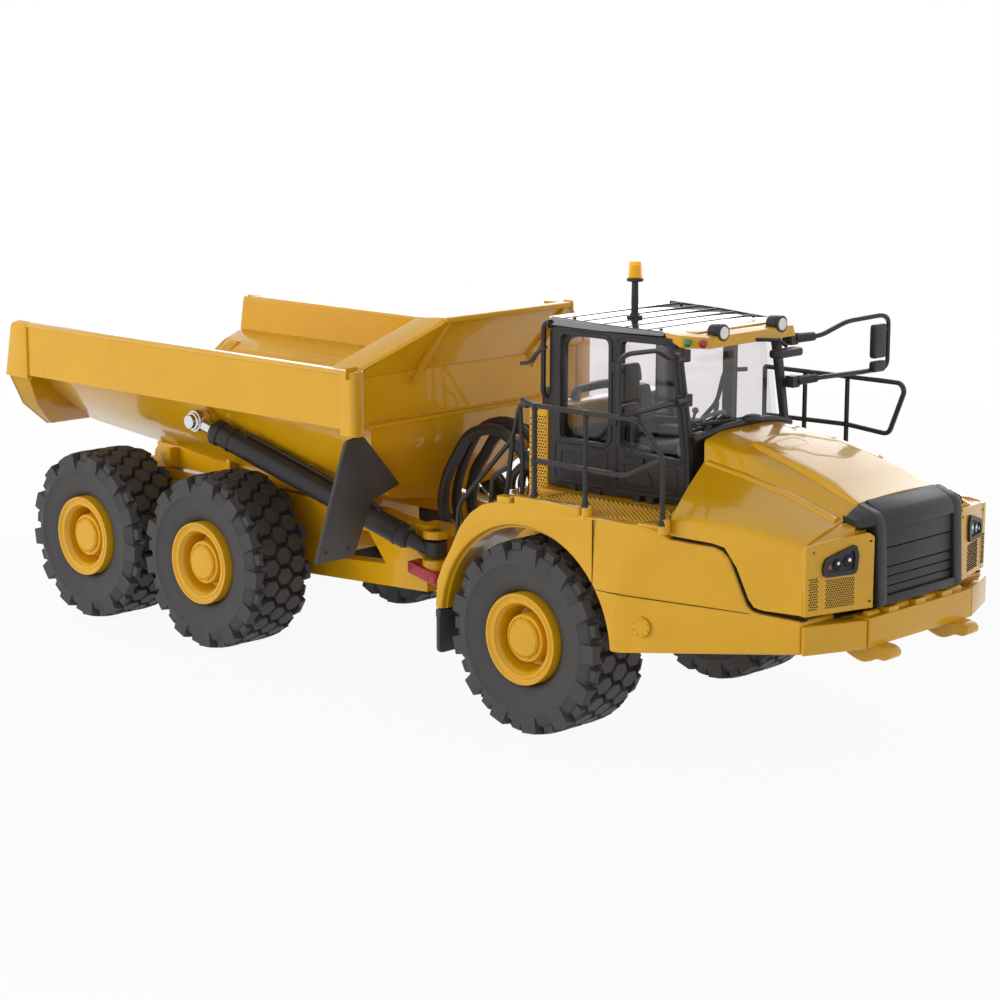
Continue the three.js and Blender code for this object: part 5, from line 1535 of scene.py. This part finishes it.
barrel = bmesh.new()
rod(barrel, (FOOT_X, FOOT_Y, 24.5), (FOOT_X, FOOT_Y, 27.6), 2.3, 28)
rod(barrel, along(0.5), along(7.2), 1.1, 20, 1.7)
rod(barrel, along(6.4), along(7.4), 2.0, 28, 2.5)
rod(barrel, along(7.2), along(REACH - 5.6), 2.42, 32)
for s, radius, deep in ((9.0, 2.6, 0.7), (REACH - 9.6, 2.62, 0.5), (REACH - 6.6, 2.7, 1.6)):
    rod(barrel, along(s), along(s + deep), radius, 32)
rod(barrel, along(REACH - 5.2), along(REACH - 4.3), 2.62, 32, 2.1)
for s in (14, REACH - 13):
    rod(barrel, along(s, 1.8), along(s, 2.9), 0.75, 12)
pipe = [along(14, 2.7), along(15.4, 3.3), along(20, 3.2, 0.1), along(REACH - 14, 3.2, 0.1), along(REACH - 13, 2.7)]
tube(barrel, pipe, 0.42, 1)
soften(barrel, 0.12, 1, 50)
sides("hoist_cylinder_{}", barrel, "satin", "hoist_barrel_{}", ["hoist_barrel_{}"])
rodset = bmesh.new()
rod(rodset, along(9.2), along(REACH - 1.6), 1.35, 24)
rod(rodset, (EYE_X, -29, EYE_Z), (EYE_X, -31.9, EYE_Z), 2.25, 32)
rod(rodset, (EYE_X, -31.8, EYE_Z), (EYE_X, -33.3, EYE_Z), 1.55, 28, 1.45)
rod(rodset, (EYE_X, -32.0, EYE_Z), (EYE_X, -32.4, EYE_Z), 1.95, 28, 1.85)
soften(rodset, 0.14, 2, 45)
sides("hoist_ram_{}", rodset, "chrome", "hoist_rod_{}", ["hoist_rod_{}"])
bosses = bmesh.new()
for low, top, radius in ((20.2, 23.95, 2.75), (28.15, 29.2, 2.5)):
    rod(bosses, (FOOT_X, FOOT_Y, low), (FOOT_X, FOOT_Y, top), radius, 30)
rod(bosses, (FOOT_X, FOOT_Y, 29.1), (FOOT_X, FOOT_Y, 29.8), 1.7, 24, 1.5)
soften(bosses, 0.25, 2, 45)
sides("hoist_pin_caps_{}", bosses, "enamel", "rear_frame")
print("hoists:", {k: v for k, v in pieces_made.items() if "hoist" in k})

# %% [markdown]
# ## Rails, step bars and mirrors
# Round bars bent in a jig make the rails. A path with rounded corners and a circular section, turned
# into a mesh, is exactly that process. Each post ends in a small foot, and each mirror's arm leaves
# the cab through a thicker clamp. The mirror heads are soft-cornered cases with a bright face behind.

# %% Rails and step bars
RAIL_Y, BAR = 33.8, 0.5
rails = bmesh.new()


def on_side(points, y=-RAIL_Y):
    """A rail's points of (x, z) in the upright plane at y."""
    return [(x, y, z) for x, z in points]


tube(rails, on_side([(-1, 63), (1.4, 62.2), (27.2, 62.4), (32.6, 56.4), (32.6, 44.6)]), BAR, 1.6)
tube(rails, on_side([(2.2, 52.1), (24, 52.1), (32.4, 56.2)]), BAR, 1.6)
for x in (2.2, 14.6):
    tube(rails, on_side([(x, 62.1), (x, 45.2)]), BAR)
for x in (2.2, 14.6, 32.6):
    rod(rails, (x, -RAIL_Y, 44.4 if x > 30 else 45.2), (x, -RAIL_Y, 45.4 if x > 30 else 46.2), 0.78, 14, 0.6)
for x, z in ((2.2, 62.2), (14.6, 62.3), (2.2, 52.1), (14.6, 52.1)):
    rod(rails, (x, -RAIL_Y, z - 0.75), (x, -RAIL_Y, z + 0.45), 0.66, 12)
piece("rail_right", rails, "satin", "front_unit", ["handrail_right"])
rails = bmesh.new()
tube(
    rails, on_side([(2.2, 62.3), (34.8, 62.4), (35.8, 61.0), (32.4, 52.2), (22.4, 53), (2.2, 52.6)], RAIL_Y),
    BAR, 1.2,
)
for x in (2.2, 12.2, 22.4):
    tube(rails, on_side([(x, 62.2), (x, 44.4)], RAIL_Y), BAR)
    rod(rails, (x, RAIL_Y, 44.2), (x, RAIL_Y, 45.4), 0.78, 14, 0.6)
piece("rail_left", rails, "satin", "front_unit", ["handrail_left"])
steps = bmesh.new()
tube(
    steps, [(-1.0, -32.2, 61.6), (-5.0, -30, 61.2), (-6.8, -30, 54.6), (-20.8, -30, 40.2), (-21.3, -30, 32.6)],
    BAR, 1.6,
)
tube(steps, [(-6.8, -30, 54.6), (-8.4, -30, 43.4)], BAR)
tube(steps, [(-7.6, -30, 49.2), (-12.0, -30, 46.8), (-12.4, -30, 41.0)], BAR, 1.4)
tube(steps, [(-5.0, -30, 61.0), (-4.4, -30, 52.6), (-4.4, -30, 44.4)], BAR * 0.9, 1.4)
sides("step_rail_{}", steps, "satin", "front_unit", ["step_bar_{}"])

# %% Side mirrors and the look-down mirror
arm = bmesh.new()
OUT_Y = -39.78
tube(
    arm,
    [
        (22.0, -15.9, 71.4), (24.4, -22, 71.7), (26, -28, 74.0), (27.4, -37.6, 74.5), (27.4, OUT_Y, 73.6),
        (27.4, OUT_Y, 64.1), (26.6, -34, 63.8), (24.6, -22, 63.7), (22.7, -15.9, 63.4),
    ],
    0.48, 1.6,
)
for a, b in (((22.3, -16.8, 71.45), (23.9, -20.6, 71.65)), ((22.9, -16.8, 63.45), (24.4, -20.9, 63.7))):
    rod(arm, a, b, 0.95, 8, 0.85)
for z in (71.45, 63.4):
    block(arm, (20.6 if z > 70 else 21.6, -17.0, z - 1.1), (22.9 if z > 70 else 23.5, -14.9, z + 1.1))
for z in (71.6, 65.0):
    tube(arm, [(27.4, OUT_Y, z), (27.2, -38.2, z)], 0.35)
sides("mirror_arm_{}", arm, "satin", "front_unit", ["mirror_{}"])
cases, faces = bmesh.new(), bmesh.new()
for low, high in ((66.2, 72.8), (63.5, 65.7)):
    pad(cases, (-38.6, low, -34.7, high), 0.6, "x", 26.6, 28.0)
    pad(faces, (-38.25, low + 0.35, -35.05, high - 0.35), 0.4, "x", 26.5, 26.65)
soften(cases, 0.4, 3, 40)
sides("mirror_case_{}", cases, "satin", "front_unit")
sides("mirror_face_{}", faces, "mirror", "front_unit")
look_down = bmesh.new()
tube(look_down, [(24.4, -1.0, 73.1), (26.4, 2.4, 73.0), (27.3, 5.6, 72.6), (27.4, 7.4, 71.4)], 0.4, 1.2)
start = points_of(look_down)
slab(look_down, rounded(rect(25.9, 3.6, 28.6, 11.6), 1.2, 5), "z", 69.4, 70.9)
soften(look_down, 0.45, 3, 40, faces_since(look_down, start))
piece("look_down_mirror", look_down, "satin", "front_unit", ["front_mirror"])
print("mirrors:", {k: v for k, v in pieces_made.items() if "mirror" in k})

# %% [markdown]
# ## Behind the cab and at the hitch
# The cooling box behind the cab has a perforated side and a dark air cleaner on top. Black hoses arch
# from the front frame over the hitch, and a red bar that locks the steering is stowed beside it.

# %% Cooling box and air cleaner
cooler = bmesh.new()
pad(cooler, (-14.5, 38.6, -9.7, 58.4), [0.2, 0.2, 0.8, 0.8], "y", -17.3, 17.3)
soften(cooler, 0.35, 3, 40)
for y in (-17.4, 17.3):
    pad(cooler, (-14.2, 40.0, -10.0, 57.8), 0.4, "y", y, y + 0.12)
for y in (-8.6, 0.6):
    pad(cooler, (y, 41, y + 8, 56), 0.6, "x", -14.6, -14.4)
piece("cooler_case", cooler, "enamel", "front_unit", ["cooling_box"])
# The cooler's perforations are small cups in painted shade, standing in for the shade inside each hole.
mesh_side = bmesh.new()
turn = Matrix.Rotation(math.pi / 2, 4, "X")
for i in range(6):
    for j in range(28):
        spot = (-13.9 + i * 0.66 + (j % 2) * 0.33, -17.42, 41.0 + j * 0.58)
        cup(mesh_side, Matrix.Translation(spot) @ turn, 6, 0.2, 0.17, 0.09)
mirror_y(mesh_side)
piece("cooler_perforations", mesh_side, "hole_shade", "front_unit", smooth=60)
cleaner = bmesh.new()
rod(cleaner, (-12.1, -13, 58.0), (-12.1, -13, 60.9), 2.2, 32)
rod(cleaner, (-12.1, -13, 60.7), (-12.1, -13, 62.0), 2.3, 32, 1.3)
rod(cleaner, (-12.1, 12, 58.0), (-12.1, 12, 59.8), 1.5, 24)
soften(cleaner, 0.4, 3, 40)
tube(
    cleaner, [(-12.6, -6, 57.6), (-12.9, -6, 60.2), (-13.4, 2, 60.6), (-13.2, 9, 60.0), (-12.3, 12, 58.6)], 0.9,
    2.6, 2,
)
piece("air_cleaner", cleaner, "satin", "front_unit")

# %% Hoses, fittings and the red lock bar
PORT_X, PORT_Z, PORT_Y = -24.2, 38.2, (-11.5, -8.6, 6.4)
lower, upper = bmesh.new(), bmesh.new()
for y, lift, wide in ((-6.2, 0.0, 1.2), (-2.4, 1.2, 1.0), (2.0, -0.8, 1.2)):
    tube(lower, [(-47.6, y, 27.6), (-49.0, y, 33.4), (-47.4, y, 39.4), (-44.6, y, 43.6 + lift)], wide, 4.0, 3)
    tube(upper, [(-44.9, y, 43.1 + lift), (-41.6, y, 48.2 + lift), (-34.6, y, 50.6 + lift), (-27.6, y, 48.0 + lift),
                 (-23.4, y, 42.0), (-22.6, y, 37.2)], wide, 5.0, 3)
lower_hoses = piece("hoses_lower", lower, "satin", None)
upper_hoses = piece("hoses_upper", upper, "satin", None)
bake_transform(lower_hoses)
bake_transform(upper_hoses)
feed = bmesh.new()
for y in PORT_Y:
    tube(
        feed, [(PORT_X, y, 37.6), (-24.8, y, 42.0), (-21.6, y, 45.6), (-16.8, y, 45.0), (-14.4, y, 44.6)], 0.8,
        3.0, 2,
    )
piece("cooler_hoses", feed, "satin", "front_unit")
ports = bmesh.new()
for y in PORT_Y:
    rod(ports, (PORT_X, y, PORT_Z - 0.6), (PORT_X, y, PORT_Z + 1.2), 1.15, 6, 1.1)
    rod(ports, (PORT_X, y, PORT_Z + 1.0), (PORT_X, y, PORT_Z + 2.0), 1.0, 16)
soften(ports, 0.1, 1, 40)
piece("hose_fittings", ports, "chrome", "front_unit")
lock = bmesh.new()
slab(lock, rounded([(-46.6, 20.9), (-38.4, 19.2), (-38.4, 21.7), (-46.6, 23.4)], 0.4), "y", -18.5, -16.2)
slab(lock, rounded([(-46.6, 20.8), (-44.2, 20.3), (-44.2, 22.9), (-46.6, 23.4)], 0.3), "y", -16.6, -14.8)
rod(lock, (-39.6, -18.8, 20.6), (-39.6, -16.4, 20.6), 1.0, 18)
soften(lock, 0.2, 2, 40)
piece("lock_bar", lock, "red", "rear_frame", ["steering_lock"])
print("pieces so far:", len(pieces_made))

# %% [markdown]
# ## CAD nodes that keep their own shape
# Frames, axles and beams already have the right shape in CAD and sit in shadow, so they keep it. Each
# only needs its finish: a node-based material on its own slots.

# %% Finishes for the carried-over nodes
KEPT = {
    "enamel": ["front_axle", "mid_axle", "rear_axle", "front_frame", "hitch_yoke", "rear_frame", "walking_beam_right",
               "walking_beam_left"],
    "grey": ["engine"],
}
for look, names in KEPT.items():
    for name in names:
        mesh = frame["nodes"][name].data
        mesh.materials.clear()
        mesh.materials.append(FINISHES[look])
for name, thing in frame["nodes"].items():
    if not thing.hide_render and not any(name in names for names in KEPT.values()):
        look = "satin" if "flap" in name or "cab" in name else "enamel"
        look = "glass" if name == "cab_glazing" else look
        thing.data.materials.clear()
        thing.data.materials.append(FINISHES[look])
print("kept CAD nodes:", sum(len(v) for v in KEPT.values()))

# %% Sizes, and the end
print("triangles:", sum(pieces_made.values()))
